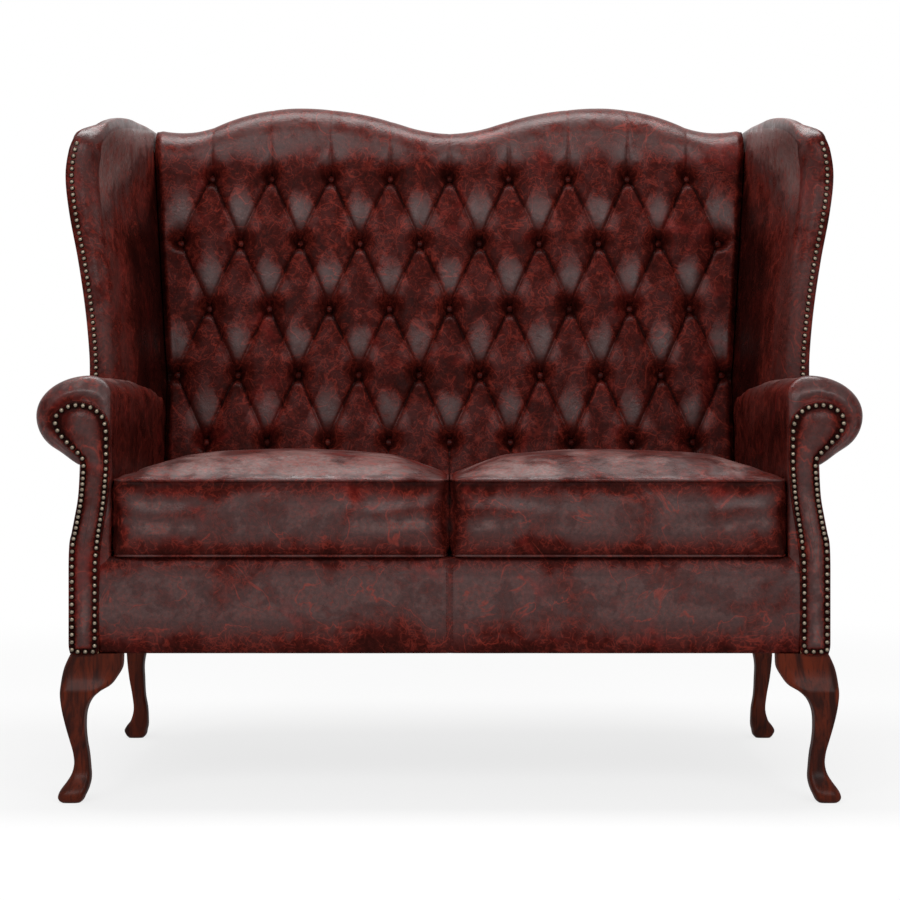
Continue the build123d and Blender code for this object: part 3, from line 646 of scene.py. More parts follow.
# wings
wing = {
    "front": -0.201043, "thick": 0.044, "bulge": 0.003, "rimCount": 122, "faceCount": 44, "wide": 0.046,
    "reach": [(0.56, 0.5965), (0.66, 0.596), (0.705, 0.5968), (0.78, 0.6037), (0.86, 0.6155),
        (0.94, 0.6304), (1.0, 0.6362), (1.046, 0.63), (1.08, 0.619), (1.15, 0.608)],
    "rim": [(0, 0.56), (0, 0.66), (0, 0.76), (0, 0.86), (0, 0.96), (0, 1.03), (0.003, 1.053),
        (0.013, 1.07), (0.032, 1.084), (0.06, 1.0975), (0.1, 1.1095), (0.15, 1.1195), (0.22, 1.129),
        (0.3, 1.137), (0.38, 1.1455), (0.46, 1.153), (0.55, 1.159), (0.59, 1.1595), (0.607, 1.155),
        (0.612, 1.143), (0.61, 1.125)],
    "rimEnd": 0.55, "hubLow": 0.56, "hubHigh": 1.14, "backLap": 0.0465}


def wingShare(y, back):
    # 0 at the front edge of the wing, 1 at its back
    return min(1.0, max(0.0, (y - wing["front"]) / (back - wing["front"])))


def wingInner(y, z):
    q = wingShare(y, frameY(z) - sofa["padCrown"] / rakeCos)
    return mix(curve(wing["reach"], z) - wing["thick"], innerX(z), q) - wing["bulge"] * math.sin(math.pi * q)


def wingOuter(y, z):
    return mix(curve(wing["reach"], z), innerX(z) + wing["wide"], wingShare(y, frameY(z)))


def wingRim():
    # the rim, its outward direction and the height on the back post that each of its points looks to
    line = rounded([(wing["front"] + s, z) for s, z in wing["rim"]], wing["rimCount"])
    along = np.gradient(line, axis=0)
    normal = np.stack([-along[:, 1], along[:, 0]], axis=1)
    whole = np.argmax(line[:, 0] > wing["front"] + wing["rimEnd"])
    hubZ = mix(wing["hubLow"], wing["hubHigh"], np.minimum(1.0, np.arange(len(line)) / whole))
    return line, normal / np.linalg.norm(normal, axis=1)[:, None], hubZ


def backHalf(z):
    # half the width of the outside back
    return sofa["neckX"] + 0.027 * aboveArm(z) + 0.012 * (1 - ease(0.385, 0.475, z))


def wingSection(y, z, ny, nz):
    # how the padding rounds over the rim: depths and widths of its two halves, and the flat between them
    deep = y - wing["front"]
    top, rear, behind = ease(0.35, 0.95, nz), ease(0.1, 0.45, deep), ease(0.02, 0.055, deep)
    deepIn, flat = mix(0.044, mix(0.02, 0.009, rear), top), mix(0.015, mix(0.004, 0.012, rear), top)
    deepOut = mix(0.004, mix(0.012, 0.024, behind), top)
    wideOut = mix(0.004, mix(0.014, 0.027, behind), top)
    start = np.array([y, z]) - np.array([ny, nz]) * deepIn
    wide = wing["wide"] - 0.01 * behind * (1 - ease(0.2, 0.4, deep))
    outX = mix(curve(wing["reach"], z), wingInner(*start) + wide, top)
    return top, deepIn, flat, deepOut, wideOut, start, outX


def makeWing(name, side):
    rows, wearAndLightRows = [], []
    for (y, z), (ny, nz), hubZ in zip(*wingRim()):
        top, deepIn, flat, deepOut, wideOut, start, outX = wingSection(y, z, ny, nz)
        hub = np.array([frameY(hubZ) - 0.004, hubZ])
        row, wearAndLight = [], []
        for t in np.linspace(0, 1, wing["faceCount"]):
            py, pz = hub + (start - hub) * t
            row.append((wingInner(py, pz), py, pz))
            seam = frameY(pz) - sofa["padCrown"] / rakeCos - py
            edge = ease(0.6, 1.0, t)
            # painted highlight on the upper front of the wing, lighter towards the front edge
            lit = 1.1 * ease(0.88, 1.05, pz) * ease(0.3, 0.8, t)
            wearAndLight.append((0.01 + 0.06 * ease(-0.015, 0.05, seam)) * (1 - edge) + 0.62 * edge + lit)
        x0 = row[-1][0]
        wideIn = outX - x0 - flat - wideOut
        for turn in np.linspace(0, math.pi / 2, 12)[1:]:
            step = deepIn * math.sin(turn)
            row.append((x0 + wideIn * (1 - math.cos(turn)), start[0] + ny * step, start[1] + nz * step))
            # the rounded top is made lighter as painted highlight
            wearAndLight.append(mix(0.66, 1.35, top * math.sin(turn)))
        for t in (0.5, 1.0):
            row.append((x0 + wideIn + flat * t, y, z))
            wearAndLight.append(mix(0.35, 1.3, top))
        for turn in np.linspace(0, math.pi / 2, 8)[1:]:
            step = deepOut * (1 - math.cos(turn))
            row.append((x0 + wideIn + flat + wideOut * math.sin(turn), y - ny * step, z - nz * step))
            wearAndLight.append(0.3)
        for t in (0.012, 0.024):
            py, pz = y - ny * (deepOut + t), z - nz * (deepOut + t)
            row.append((mix(row[-1][0] - 0.002, wingOuter(py, pz) - 0.0035, top), py, pz))
            wearAndLight.append(0.3)
        rows.append(row)
        wearAndLightRows.append(wearAndLight)
    return surface(name, rows, wearAndLightRows, side=side)


def makeWingPanel(name, side):
    rows = []
    for (y, z), (ny, nz), hubZ in zip(*wingRim()):
        top, deepOut = (wingSection(y, z, ny, nz)[k] for k in (0, 3))
        hub = np.array([frameY(hubZ) + 0.04, hubZ])
        start = np.array([y, z]) - np.array([ny, nz]) * (deepOut + mix(0.012, 0.004, top))
        row = []
        for t in np.linspace(0, 1, 26):
            py, pz = start + (hub - start) * t
            puff = 0.0035 * math.sin(math.pi * min(1.0, 0.06 + t * 0.94)) - 0.006 * (1 - ease(0, 0.035, t))
            row.append((wingOuter(py, pz) + puff, py, pz))
        edge, lap = backHalf(hubZ), wing["backLap"]
        for x, behind in ((max(row[-1][0] - 0.002, edge), 0.045), (edge + 0.001, lap), (edge - 0.012, lap)):
            row.append((x, frameY(hubZ) + behind, hubZ))
        rows.append(row)
    return surface(name, rows, side=side)


dressSides((makeWing, "wing_leather", "leather", "wing_pad", 0.7),
           (makeWingPanel, "wing_outside", "leather", "outside_wing", 0.3))
print("stage wings")

# arms
arm = {
    "front": sofa["armFront"], "shoulder": 0.034, "topX": 0.56, "reach": 0.6452, "outZ": 0.599,
    "heel": 0.0592, "foot": 0.336, "lineCount": 130, "stations": 46, "turnDeep": 0.024, "turnFlat": 0.009,
    "pleat": 0.027, "closedX": 0.566,
    "closing": [(0.06, 0.003), (0.3, 0.0045), (0.7, 0.003), (1.0, -0.002)]}


def armLine():
    # up the inner side, over the top and round the roll to the neck
    x0, top, topX, outZ = sofa["innerHalf"], sofa["armHeight"], arm["topX"], arm["outZ"]
    low, r = top - arm["shoulder"], arm["heel"]
    points = [(x0, z) for z in np.linspace(arm["foot"], low, 30)]
    for a in np.linspace(0, math.pi / 2, 16)[1:]:
        points.append((topX - (topX - x0) * math.cos(a), low + arm["shoulder"] * math.sin(a)))
    for a in np.linspace(0, math.pi / 2, 24)[1:]:
        points.append((topX + (arm["reach"] - topX) * math.sin(a), outZ + (top - outZ) * math.cos(a)))
    for a in np.linspace(0, math.radians(60), 12)[1:]:
        points.append((arm["reach"] - r + r * math.cos(a), outZ - r * math.sin(a)))
    x, z = points[-1]
    points += [(mix(x, sofa["neckX"], t), mix(z, sofa["neckHeight"], t)) for t in (0.25, 0.5, 0.75, 1.0)]
    points += [(sofa["neckX"] - 0.012, sofa["neckHeight"] - 0.004)]
    return resample(points, arm["lineCount"])


def makeArm(name, side):
    line = armLine()
    normal = -outward(line)
    length = runLength(line)
    upward = np.clip(normal[:, 1], 0, 1)
    scroll = ease(0.26, 0.34, length) * (1 - ease(length[-1] - 0.05, length[-1] - 0.02, length))
    deep = mix(arm["turnFlat"], arm["turnDeep"], scroll)
    rows, wearAndLightRows = [], []
    # gathered front, drawn in under the nailed edge of the facing
    path = nailLine(400)
    target = np.array([path[np.argmin(np.linalg.norm(path - p, axis=1))] for p in line])
    for k in range(12):
        target[1:-1] = (target[:-2] + 2 * target[1:-1] + target[2:]) / 4
    wave = 0.0003 * np.sin(length * 2 * math.pi / arm["pleat"] + 1.6 * np.sin(length * 27))
    for turn in np.linspace(math.pi / 2, 0, 18):
        share = 1 - math.cos(turn)
        y = arm["front"] + 0.003 + deep * (1 - math.sin(turn))
        pleat = wave * math.sin(2 * turn) ** 2 * scroll
        fold = 0.0022 * math.exp(-((share - 0.5) / 0.12) ** 2)
        ridge = (fold - 0.0016 * math.exp(-((share - 0.74) / 0.08) ** 2)) * scroll
        flat = line + (target - line) * share + normal * pleat[:, None]
        rows.append(upright(flat, y - 0.8 * pleat - ridge))
        # painted highlight where the roll faces up, and lighter off the scroll along the inner edge
        lit = 0.6 * upward ** 3 * (1 - share)
        rubAndLight = 0.42 + 120 * pleat + 130 * ridge + 0.25 * math.sin(2 * turn) + lit + 0.3 * (1 - scroll)
        # darker towards the nail line as painted shade
        wearAndLightRows.append(rubAndLight * (1 - 0.75 * ease(0.72, 1.0, share)))
    front = arm["front"] + 0.004 + deep
    back = frameY(line[:, 1])
    back = np.where(line[:, 0] < sofa["innerHalf"] + 0.03, back - 0.002, back + 0.044)
    inside = 1 - ease(0.24, 0.33, length)
    for k in range(1, arm["stations"] + 1):
        share = k / arm["stations"]
        y = front + share * (back - front)
        flat = line.copy()
        for i, (x, z) in enumerate(line):
            soft = 0.0035 * ripple(x + 3, y[i], z, 0.11) + 0.0012 * ripple(x, y[i], z + 5, 0.03)
            free = ease(0.5, 0.56, z) if i < len(line) / 2 else 1.0
            flat[i] += normal[i] * (soft + 0.004 * math.sin(math.pi * share) - 0.002) * free
        rows.append(upright(flat, y))
        # lighter where the roll faces up as painted top light, low on the inner side
        wearAndLightRows.append(mix(0.5 + 0.95 * upward ** 2, 0.2, inside))
    # the roll is closed behind, beside the outside back
    last = rows[-1]
    outer = ease(0.57, 0.58, line[:, 0])
    for share, behind in arm["closing"]:
        closed = last.copy()
        closed[:, 0] = mix(last[:, 0], arm["closedX"], share * outer)
        closed[:, 1] += behind * outer
        rows.append(closed)
        wearAndLightRows.append(np.full(len(line), 0.45))
    return surface(name, rows, wearAndLightRows, side=side)


# edge rows: out from the nail line, depth, wear-and-light mark; puff rows: share of the way to the spine,
# depth, wear-and-light mark; the mark is lowest at the nail line as painted shade and highest along the
# puffed middle as painted highlight
facing = {
    "pitch": 0.0117, "close": 0.0086, "count": 260, "bottom": 0.2335, "spineLow": 0.252,
    "spineHigh": 0.592,
    "edge": [(0.0056, 0.0085, 0.1), (0.0064, 0.004, 0.2), (0.0058, 0.0008, 0.3), (0.004, -0.0004, 0.12),
        (0.0, 0.0, 0.02)],
    "puff": [(0.22, 0.0002, 0.12), (0.36, -0.0016, 0.5), (0.55, -0.0034, 0.8), (0.78, -0.0044, 0.95),
        (1.0, -0.0047, 1.0)],
    "scroll": [(0.5842, 0.33), (0.5841, 0.375), (0.5828, 0.4017), (0.5797, 0.4156), (0.5749, 0.4404),
        (0.5698, 0.4698), (0.567, 0.5054), (0.5662, 0.522), (0.569, 0.535), (0.5765, 0.5428),
        (0.585, 0.5508), (0.594, 0.56), (0.602, 0.569), (0.608, 0.579), (0.6102, 0.5895), (0.6075, 0.6),
        (0.599, 0.6078), (0.5885, 0.613), (0.5774, 0.6148), (0.566, 0.6138), (0.5538, 0.6105),
        (0.5445, 0.6042), (0.5368, 0.595), (0.5335, 0.5843), (0.532, 0.572), (0.5318, 0.524),
        (0.5333, 0.499), (0.5364, 0.4636), (0.543, 0.4218), (0.5475, 0.386), (0.549, 0.36),
        (0.5492, 0.32)]}


def nailLine(count):
    # up the outer side, round the scroll and down the inner side, with square corners at the foot
    scroll = rounded(facing["scroll"], 400)
    foot = [(scroll[-1][0], facing["bottom"]), (scroll[0][0], facing["bottom"])]
    return resample(np.vstack([scroll, foot]), count, closed=True)


def makeFacing(name, side):
    # a puffed panel: rings follow the nail line, then the middle is drawn in towards a spine
    path = nailLine(facing["count"])
    normal = smoothed(outward(path, True), 4)
    middle = np.zeros_like(path)
    for i, p in enumerate(path):
        level = path[np.abs(path[:, 1] - p[1]) < 0.004]
        middle[i] = ((level[:, 0].min() + level[:, 0].max()) / 2,
                     min(max(p[1], facing["spineLow"]), facing["spineHigh"]))
    middle = smoothed(middle, 10)
    rows, wearAndLightRows = [], []
    for out, deep, wearAndLight in facing["edge"]:
        rows.append(upright(path + normal * out, arm["front"] + deep))
        wearAndLightRows.append(np.full(len(path), wearAndLight))
    for share, deep, wearAndLight in facing["puff"]:
        rows.append(upright(path + (middle - path) * share, arm["front"] + deep))
        wearAndLightRows.append(wearAndLight * mix(1.22, 0.86, ease(0.44, 0.55, path[:, 1])))
    return surface(name, rows, wearAndLightRows, roundRow=True, side=side)


# the nail's mark by ring, bright middle to dark rim: painted highlight on the dome and painted shade round
# it
nail = {"form": [(0, 0.0034), (0.0014, 0.0032), (0.0026, 0.0025), (0.0037, 0.0013), (0.0044, 0.0002),
                 (0.0042, -0.0008)], "count": 12, "middle": [1.0], "rings": [0.85, 0.42, 0.16, 0.05, 0.0],
        "wingPitch": 0.0104, "wingIn": 0.0112, "wingLow": 0.67, "wingHigh": 1.052}


def armNailPlaces():
    # set closer along the curved waist than on the straight foot and the scroll
    path = nailLine(900)
    step = np.linalg.norm(np.roll(path, -1, axis=0) - path, axis=1)
    waist = ease(0.385, 0.41, path[:, 1]) * (1 - ease(0.5, 0.525, path[:, 1]))
    count = np.concatenate([[0], np.cumsum(step / mix(facing["pitch"], facing["close"], waist))])
    total = round(count[-1])
    loop = np.vstack([path, path[:1]])
    at = np.arange(total) * count[-1] / total
    xs, zs = (np.interp(at, count, loop[:, k]) for k in (0, 1))
    return [(x, arm["front"] - 0.0004, z) for x, z in zip(xs, zs)]


def wingNailPlaces():
    heights = np.linspace(nail["wingLow"], nail["wingHigh"], 200)
    places = [(curve(wing["reach"], z) - nail["wingIn"], z) for z in heights]
    length = np.sum(np.linalg.norm(np.diff(np.array(places), axis=0), axis=1))
    return [(x, wing["front"] - 0.0002 + 0.003 * max(0.0, (z - 1.03) / 0.022) ** 2, z)
            for x, z in resample(places, round(length / nail["wingPitch"]))]


def nailsAt(places):
    def make(name, side):
        spots = [((side * x, y, z), (1, 0, 0), (0, 0, 1), (0, -1, 0)) for x, y, z in places]
        return stamped(name, nail, spots)
    return make


dressSides((makeArm, "arm_leather", "leather", "arm_pad", 0.7),
           (makeFacing, "scroll_facing", "leather", "arm_facing", 0.4),
           (nailsAt(armNailPlaces()), "scroll_nails", "brass", "arm_nails", None),
           (nailsAt(wingNailPlaces()), "wing_trim_nails", "brass", "wing_nails", None))

outsideArm = {"line": [(0.594, 0.23), (0.594, 0.29), (0.5935, 0.36), (0.5925, 0.395), (0.588, 0.425),
                       (0.5815, 0.455), (0.5785, 0.485), (0.577, 0.522)], "rows": 44, "cols": 60}


def makeOutsideArm(name, side):
    line = rounded(outsideArm["line"], outsideArm["rows"])
    rows = []
    front, back = arm["front"] + 0.004, sofa["panelBack"]
    for share in np.linspace(0, 1, outsideArm["cols"]):
        tuck = (0.005 * (1 - ease(0.0, 0.018, share * (back - front)))
                + 0.004 * (1 - ease(0, 0.02, (1 - share) * (back - front))))
        row = []
        for i, (x, z) in enumerate(line):
            up = i / (len(line) - 1)
            y = mix(front, max(back, frameY(z) + 0.048 / rakeCos), share)
            puff = (0.003 * math.sin(math.pi * up) * math.sin(math.pi * share)
                    + 0.0012 * ripple(x, y, z, 0.09))
            row.append((x + puff - tuck - 0.003 * (1 - ease(0.0, 0.05, up)), y, z))
        rows.append(row)
    return surface(name, rows, side=side, flip=True)


dressSides((makeOutsideArm, "arm_outside", "leather", "outside_arm", 0.3))
print("stage arms")

# front border
border = {
    "half": 0.55, "bulge": 0.008, "deep": 0.025, "cols": 260, "rows": 46, "seam": 0.0035, "edgeWear": 0.2}


def makeBorder():
    low, high, deepY = sofa["legTop"], sofa["deckTop"], arm["front"] + border["deep"]
    rows, wearAndLightRows = [], []
    for x in np.linspace(-border["half"], border["half"], border["cols"]):
        row, wearAndLight = [(x, deepY, low + 0.002)], [border["edgeWear"]]
        seam = math.exp(-(x / border["seam"]) ** 2)
        for t in np.linspace(0, 1, border["rows"]):
            z = mix(low, high, t)
            full = 1 - (2 * t - 1) ** 4
            y = arm["front"] + border["bulge"] * (1 - full) - 0.001 * full
            y += 0.012 * (1 - ease(0.0, 0.009, border["half"] - abs(x)))
            y += (0.0022 * seam + 0.0012 * ripple(x, 2.0, z, 0.07)
                  + 0.0005 * ripple(x * 0.5, 7.0, z, 0.012) * full)
            row.append((x, y, z))
            wearAndLight.append((0.82 - 0.5 * seam) * ease(0.0, 0.42, t) * ease(0.0, 0.24, 1 - t)
                        + border["edgeWear"])
        rows.append(row + [(x, deepY, high - 0.001)])
        wearAndLightRows.append(wearAndLight + [border["edgeWear"]])
    return surface("front_border_leather", rows, wearAndLightRows, flip=True)


dress(makeBorder(), "leather", ["front_border"])
stitch = {
    "gap": 0.0042, "pitch": 0.0052, "low": 0.246, "high": 0.366, "long": 2.8, "count": 8,
    "middle": [0.45], "rings": [0.45, 0.45, 0.45],
    "form": [(0, 0.0006), (0.0003, 0.0005), (0.0006, 0.0001), (0.0006, -0.0004)]}
stitchSpots = []
for x in (-stitch["gap"], stitch["gap"]):
    for z in np.arange(stitch["low"], stitch["high"], stitch["pitch"]):
        stitchSpots.append(((x, arm["front"] - 0.0006, z), (1, 0, 0), (0, 0, stitch["long"]), (0, -1, 0)))
dress(stamped("border_stitches", stitch, stitchSpots), "leather")

# outside back
outsideBack = {
    "cols": 120, "rows": 110, "soft": 0.008, "puff": 0.003, "tuck": 0.004, "out": 0.051, "topHalf": 0.6}


def makeOutsideBack():
    # upright behind the seat rail, then raked, with the bend eased
    low, upper = sofa["legTop"], sofa["panelBack"]
    points = []
    for f in np.linspace(0, 1, outsideBack["rows"]):
        row = []
        for c in np.linspace(-1, 1, outsideBack["cols"]):
            high = sofa["deckTop"] + (topLine(c * outsideBack["topHalf"]) - 0.004) * rakeCos - 0.0097
            z = mix(low, high, f)
            arch = math.sqrt(max(0.0, math.cos(c * math.pi / 2)))
            puff = outsideBack["puff"] * math.sin(math.pi * f) * arch
            edge = min(min(f, 1 - f) * (high - low), (1 - abs(c)) * outsideBack["topHalf"])
            tuck = outsideBack["tuck"] * (1 - ease(0, 0.012, edge))
            raked = frameY(z) + outsideBack["out"] / rakeCos
            bend = (upper + raked + math.hypot(upper - raked, outsideBack["soft"])) / 2
            row.append((c * backHalf(z), bend + puff - tuck, z))
        points.append(row)
    return surface("outside_back_leather", points, flip=True)


dress(makeOutsideBack(), "leather", ["outside_back"])
print("stage outsides")

# seat cushions
cushion = {
    "x0": 0.003, "x1": 0.524, "front": -0.408, "back": 0.123, "low": 0.3803, "tall": 0.119,
    "crown": 0.041, "nx": 54, "ny": 56, "nz": 13, "tuck": 0.002, "frames": 16, "cap": 0.012,
    "piping": 0.0021, "wide": 0.52, "corner": 0.004, "cornerFrom": 0.86, "coreGap": 0.022,
    "coreRound": 0.02,
    "cloth": {"quality": 6, "vertex_group_mass": "held", "use_pressure": True,
        "uniform_pressure_force": 4.0, "tension_stiffness": 12.0, "compression_stiffness": 12.0,
        "bending_stiffness": 0.6, "shrink_min": -0.012}}


def cushionForm():
    # a box of panels: bottom, four borders, crowned top; points are shared along the seams
    nx, ny, nz = cushion["nx"], cushion["ny"], cushion["nz"]
    index, points, faces, seams = {}, [], [], set()

    def spot(i, j, k):
        key = (i, j, k)
        if key not in index:
            u, v, h = i / nx, j / ny, k / nz
            lean = cushion["tall"] * h * rakeSin / rakeCos * ease(0.4, 1.0, v)
            x = mix(cushion["x0"], cushion["x1"], u)
            y = mix(cushion["front"], cushion["back"], v) + lean
            z = cushion["low"] + cushion["tall"] * h
            pull = cushion["tuck"] * math.sin(math.pi * h)
            if i in (0, nx):
                x += pull if i == 0 else -pull
            if j in (0, ny):
                y += pull if j == 0 else -pull
            if k == nz:
                dome = (max(0.0, 1 - (2 * u - 1) ** 2) ** 0.55) * (max(0.0, 1 - (2 * v - 1) ** 2) ** 0.55)
                z += (cushion["crown"] - 0.006) * dome
            # rounded corners in plan
            past = max(0.0, abs(2 * u - 1) * abs(2 * v - 1) - cushion["cornerFrom"])
            corner = past / 0.14
            x -= math.copysign(cushion["corner"] * corner, u - 0.5)
            y -= math.copysign(cushion["corner"] * corner, v - 0.5)
            index[key] = len(points)
            points.append((x, y, z))
            if k in (0, nz) and (i in (0, nx) or j in (0, ny)):
                seams.add(index[key])
        return index[key]

    def panel(*corners):
        faces.append(tuple(spot(*corner) for corner in corners))
    for i in range(nx):
        for j in range(ny):
            panel((i, j, 0), (i, j + 1, 0), (i + 1, j + 1, 0), (i + 1, j, 0))
            panel((i, j, nz), (i + 1, j, nz), (i + 1, j + 1, nz), (i, j + 1, nz))
    for k in range(nz):
        for i in range(nx):
            panel((i, 0, k), (i + 1, 0, k), (i + 1, 0, k + 1), (i, 0, k + 1))
            panel((i, ny, k), (i, ny, k + 1), (i + 1, ny, k + 1), (i + 1, ny, k))
        for j in range(ny):
            panel((0, j, k), (0, j, k + 1), (0, j + 1, k + 1), (0, j + 1, k))
            panel((nx, j, k), (nx, j + 1, k), (nx, j + 1, k + 1), (nx, j, k + 1))
    return np.array(points), faces, seams, index


def swellCushion(points, faces, held):
    # the cover is blown up gently against its held seams, and no point may move further than the cap
    obj = meshOf("cushion_cloth", points, faces)
    group = obj.vertex_groups.new(name="held")
    group.add([int(i) for i in held], 1.0, "REPLACE")
    made = obj.modifiers.new("cloth", "CLOTH")
    for key, value in cushion["cloth"].items():
        setattr(made.settings, key, value)
    made.settings.effector_weights.gravity = 0.0
    made.point_cache.frame_start = 1
    made.point_cache.frame_end = cushion["frames"]
    for step in range(1, cushion["frames"] + 1):
        scene.frame_set(step)
    ready = obj.evaluated_get(bpy.context.evaluated_depsgraph_get())
    moved = np.array([v.co for v in ready.data.vertices])
    scene.frame_set(1)
    old = obj.data
    bpy.data.objects.remove(obj)
    bpy.data.meshes.remove(old)
    shift = moved - points
    far = np.linalg.norm(shift, axis=1)
    shift *= np.minimum(1.0, cushion["cap"] / np.maximum(far, 1e-9))[:, None]
    return points + shift


cushionPoints, cushionFaces, cushionSeams, cushionIndex = cushionForm()
cushionHeld = cushionSeams | {n for (i, j, k), n in cushionIndex.items() if k == 0}
cushionPoints = swellCushion(cushionPoints, cushionFaces, sorted(cushionHeld))


def makeCushion(name, side):
    nx, ny, nz, tall = cushion["nx"], cushion["ny"], cushion["nz"], cushion["tall"]
    points = cushionPoints.copy()
    wearAndLight = np.full(len(points), 0.8)
    for (i, j, k), n in cushionIndex.items():
        x, y, z = points[n]
        u, v, h = i / nx, j / ny, k / nz
        along = (min(u, 1 - u) if j in (0, ny) else min(v, 1 - v)) * cushion["wide"]
        if k == nz:
            edge = min(u, 1 - u, v, 1 - v) * cushion["wide"]
            # the top is rubbed and also carries a painted sheen, palest near the front
            rubAndLight = 1.17 - 0.3 * ease(0.1, 0.5, v) + 0.85 * ripple(x * side, y * 0.4, 9.0, 0.055)
            turned = ease(0.0, 0.016, edge)
        else:
            rubAndLight, turned = 0.86, ease(0.004, 0.042, min(h * tall, (1 - h) * tall, along))
        wearAndLight[n] = 0.16 + rubAndLight * turned
        if n in cushionSeams or k == 0:
            continue
        soft = 0.0016 * ripple(x * side, y, z * 2.5, 0.06)
        if k == nz:
            points[n, 2] += soft
            continue
        # drag creases run in from the ends of the border
        drag = ease(0.0, 0.03, along) * (1 - ease(0.05, 0.19, along)) * math.sin(math.pi * h)
        crease = math.sin(2 * math.pi * 3.0 * h + 2.6 * ripple(x * side, y, 3.0, 0.1)) * drag
        # crease crests lighter and troughs darker: painted light and shade
        wearAndLight[n] += 0.28 * crease
        points[n, 1 if j in (0, ny) else 0] += soft + 0.0024 * crease
    points[:, 0] *= side
    faces = cushionFaces if side > 0 else [f[::-1] for f in cushionFaces]
    obj = meshOf(name, points, faces, wearAndLight)
    finer = obj.modifiers.new("finer", "SUBSURF")
    finer.levels = 1
    finer.render_levels = 1
    ready = obj.evaluated_get(bpy.context.evaluated_depsgraph_get())
    fineMesh = bpy.data.meshes.new_from_object(ready)
    obj.modifiers.clear()
    obj.data = fineMesh
    return obj


def tube(path, radius, count=8):
    # a thin closed cord along a line
    along = np.roll(path, -1, axis=0) - np.roll(path, 1, axis=0)
    along /= np.linalg.norm(along, axis=1)[:, None]
    across = np.cross(along, np.array([[0, 0, 1.0]]))
    across /= np.linalg.norm(across, axis=1)[:, None]
    above = np.cross(across, along)
    turns = [-2 * math.pi * k / count for k in range(count)]
    grid = np.stack([path + radius * (math.cos(a) * across + math.sin(a) * above) for a in turns], axis=1)
    return np.concatenate([grid, grid[:1]])


def makePiping(name, side):
    # the seam allowance stands up as a narrow ridge round the top and bottom panels
    nx, ny = cushion["nx"], cushion["ny"]
    loop = [(i, 0) for i in range(nx)] + [(nx, j) for j in range(ny)]
    loop += [(nx - i, ny) for i in range(nx)] + [(0, ny - j) for j in range(ny)]
    grids = []
    for k, lift in ((0, 0.0016), (cushion["nz"], -0.0008)):
        path = smoothed(np.array([cushionPoints[cushionIndex[(i, j, k)]] for i, j in loop]), 3)
        path[:, 2] += lift
        path[:, 0] *= side
        grids.append(tube(path, cushion["piping"]))
    return joined(name, grids, roundRow=True)


def makeCore(name, side):
    # a foam block with rounded upright edges
    gap, soft = cushion["coreGap"], cushion["coreRound"]
    a = np.array([cushion["x0"] + gap, cushion["front"] + 0.026, cushion["low"] + gap])
    b = np.array([cushion["x1"] - gap, cushion["back"] - gap, cushion["low"] + cushion["tall"] - 0.006])
    ring = []
    for cx, cy, start in ((1, 0, -90), (1, 1, 0), (0, 1, 90), (0, 0, 180)):
        for more in np.linspace(0, 90, 7):
            turn = math.radians(start + more)
            ring.append(((b[0] if cx else a[0]) + soft * (math.cos(turn) - (1 if cx else -1)),
                         (b[1] if cy else a[1]) + soft * (math.sin(turn) - (1 if cy else -1))))
    ring = np.array(ring)
    middle = (a[:2] + b[:2]) / 2
    half = [(0.0, 0.0), (0.9, 0.0), (0.985, 0.0), (1.0, 0.06)]
    rows = []
    for shrink, lift in half + [(1.0, 0.94), (0.985, 1.0), (0.9, 1.0), (0.0, 1.0)]:
        flat = middle + (ring - middle) * shrink
        rows.append(np.concatenate([flat, np.full((len(ring), 1), mix(a[2], b[2], lift))], axis=1))
    return surface(name, rows, roundRow=True, side=side)


for sideName, side in sides:
    body = sideName + "_cushion"
    cover, core = sideName + "_seat_cushion_cover", sideName + "_seat_cushion_core"
    dress(makeCushion(sideName + "_seat_cushion", side), "leather", [cover], body)
    dress(makePiping(sideName + "_cushion_piping", side), "leather", body=body)
    dress(makeCore(sideName + "_cushion_foam", side), "foam", [core], body)
print("stage cushions")

# deck cloth
deck = {"half": 0.5257, "front": arm["front"] + 0.0255, "back": 0.2025, "low": 0.334, "top": 0.3798,
        "round": 0.008, "sag": 0.003, "rows": 40, "cols": 60}


def makeDeck():
    half, front, back = deck["half"], deck["front"], deck["back"]
    rows = []
    for y in np.linspace(front, back, deck["rows"]):
        row = [(-half, y, deck["low"])]
        for x in np.linspace(-half, half, deck["cols"]):
            edge = min(half - abs(x), y - front, back - y)
            drop = deck["top"] - deck["round"] * (1 - ease(0, 0.02, edge))
            row.append((x, y, drop - deck["sag"] * ease(0.05, 0.3, edge)))
        rows.append(row + [(half, y, deck["low"])])
    return surface("seat_deck", rows)


dress(makeDeck(), "lining", ["seat_platform"])

# webbing
strap = {
    "width": 0.05, "thick": 0.0016, "edge": 0.0002, "steps": 24,
    "across": (-1, -0.96, -0.5, 0, 0.5, 0.96, 1), "seatCount": 9, "seatStart": -0.373, "seatZ": 0.3302,
    "seatLength": 0.617, "seatSag": 0.004, "seatMargin": 0.025, "backCount": 7, "backLow": 0.027,
    "backLength": 0.696, "backMargin": 0.05}


def strapGrid(start, along, out, length, sag):
    along, out, across = np.array(along), np.array(out), np.array((1, 0, 0))
    rows = []
    for t in np.linspace(0, 1, strap["steps"]):
        base = np.array(start) + along * length * t - out * sag * math.sin(math.pi * t)
        rows.append([base + across * strap["width"] / 2 * s
                     + out * (strap["thick"] if abs(s) < 1 else strap["edge"]) for s in strap["across"]])
    return np.array(rows)


def strapPlaces(kind):
    count, half = strap[kind + "Count"], sofa["innerHalf"] - strap[kind + "Margin"]
    return [(-1 + 2 * (k + 0.5) / count) * half for k in range(count)]


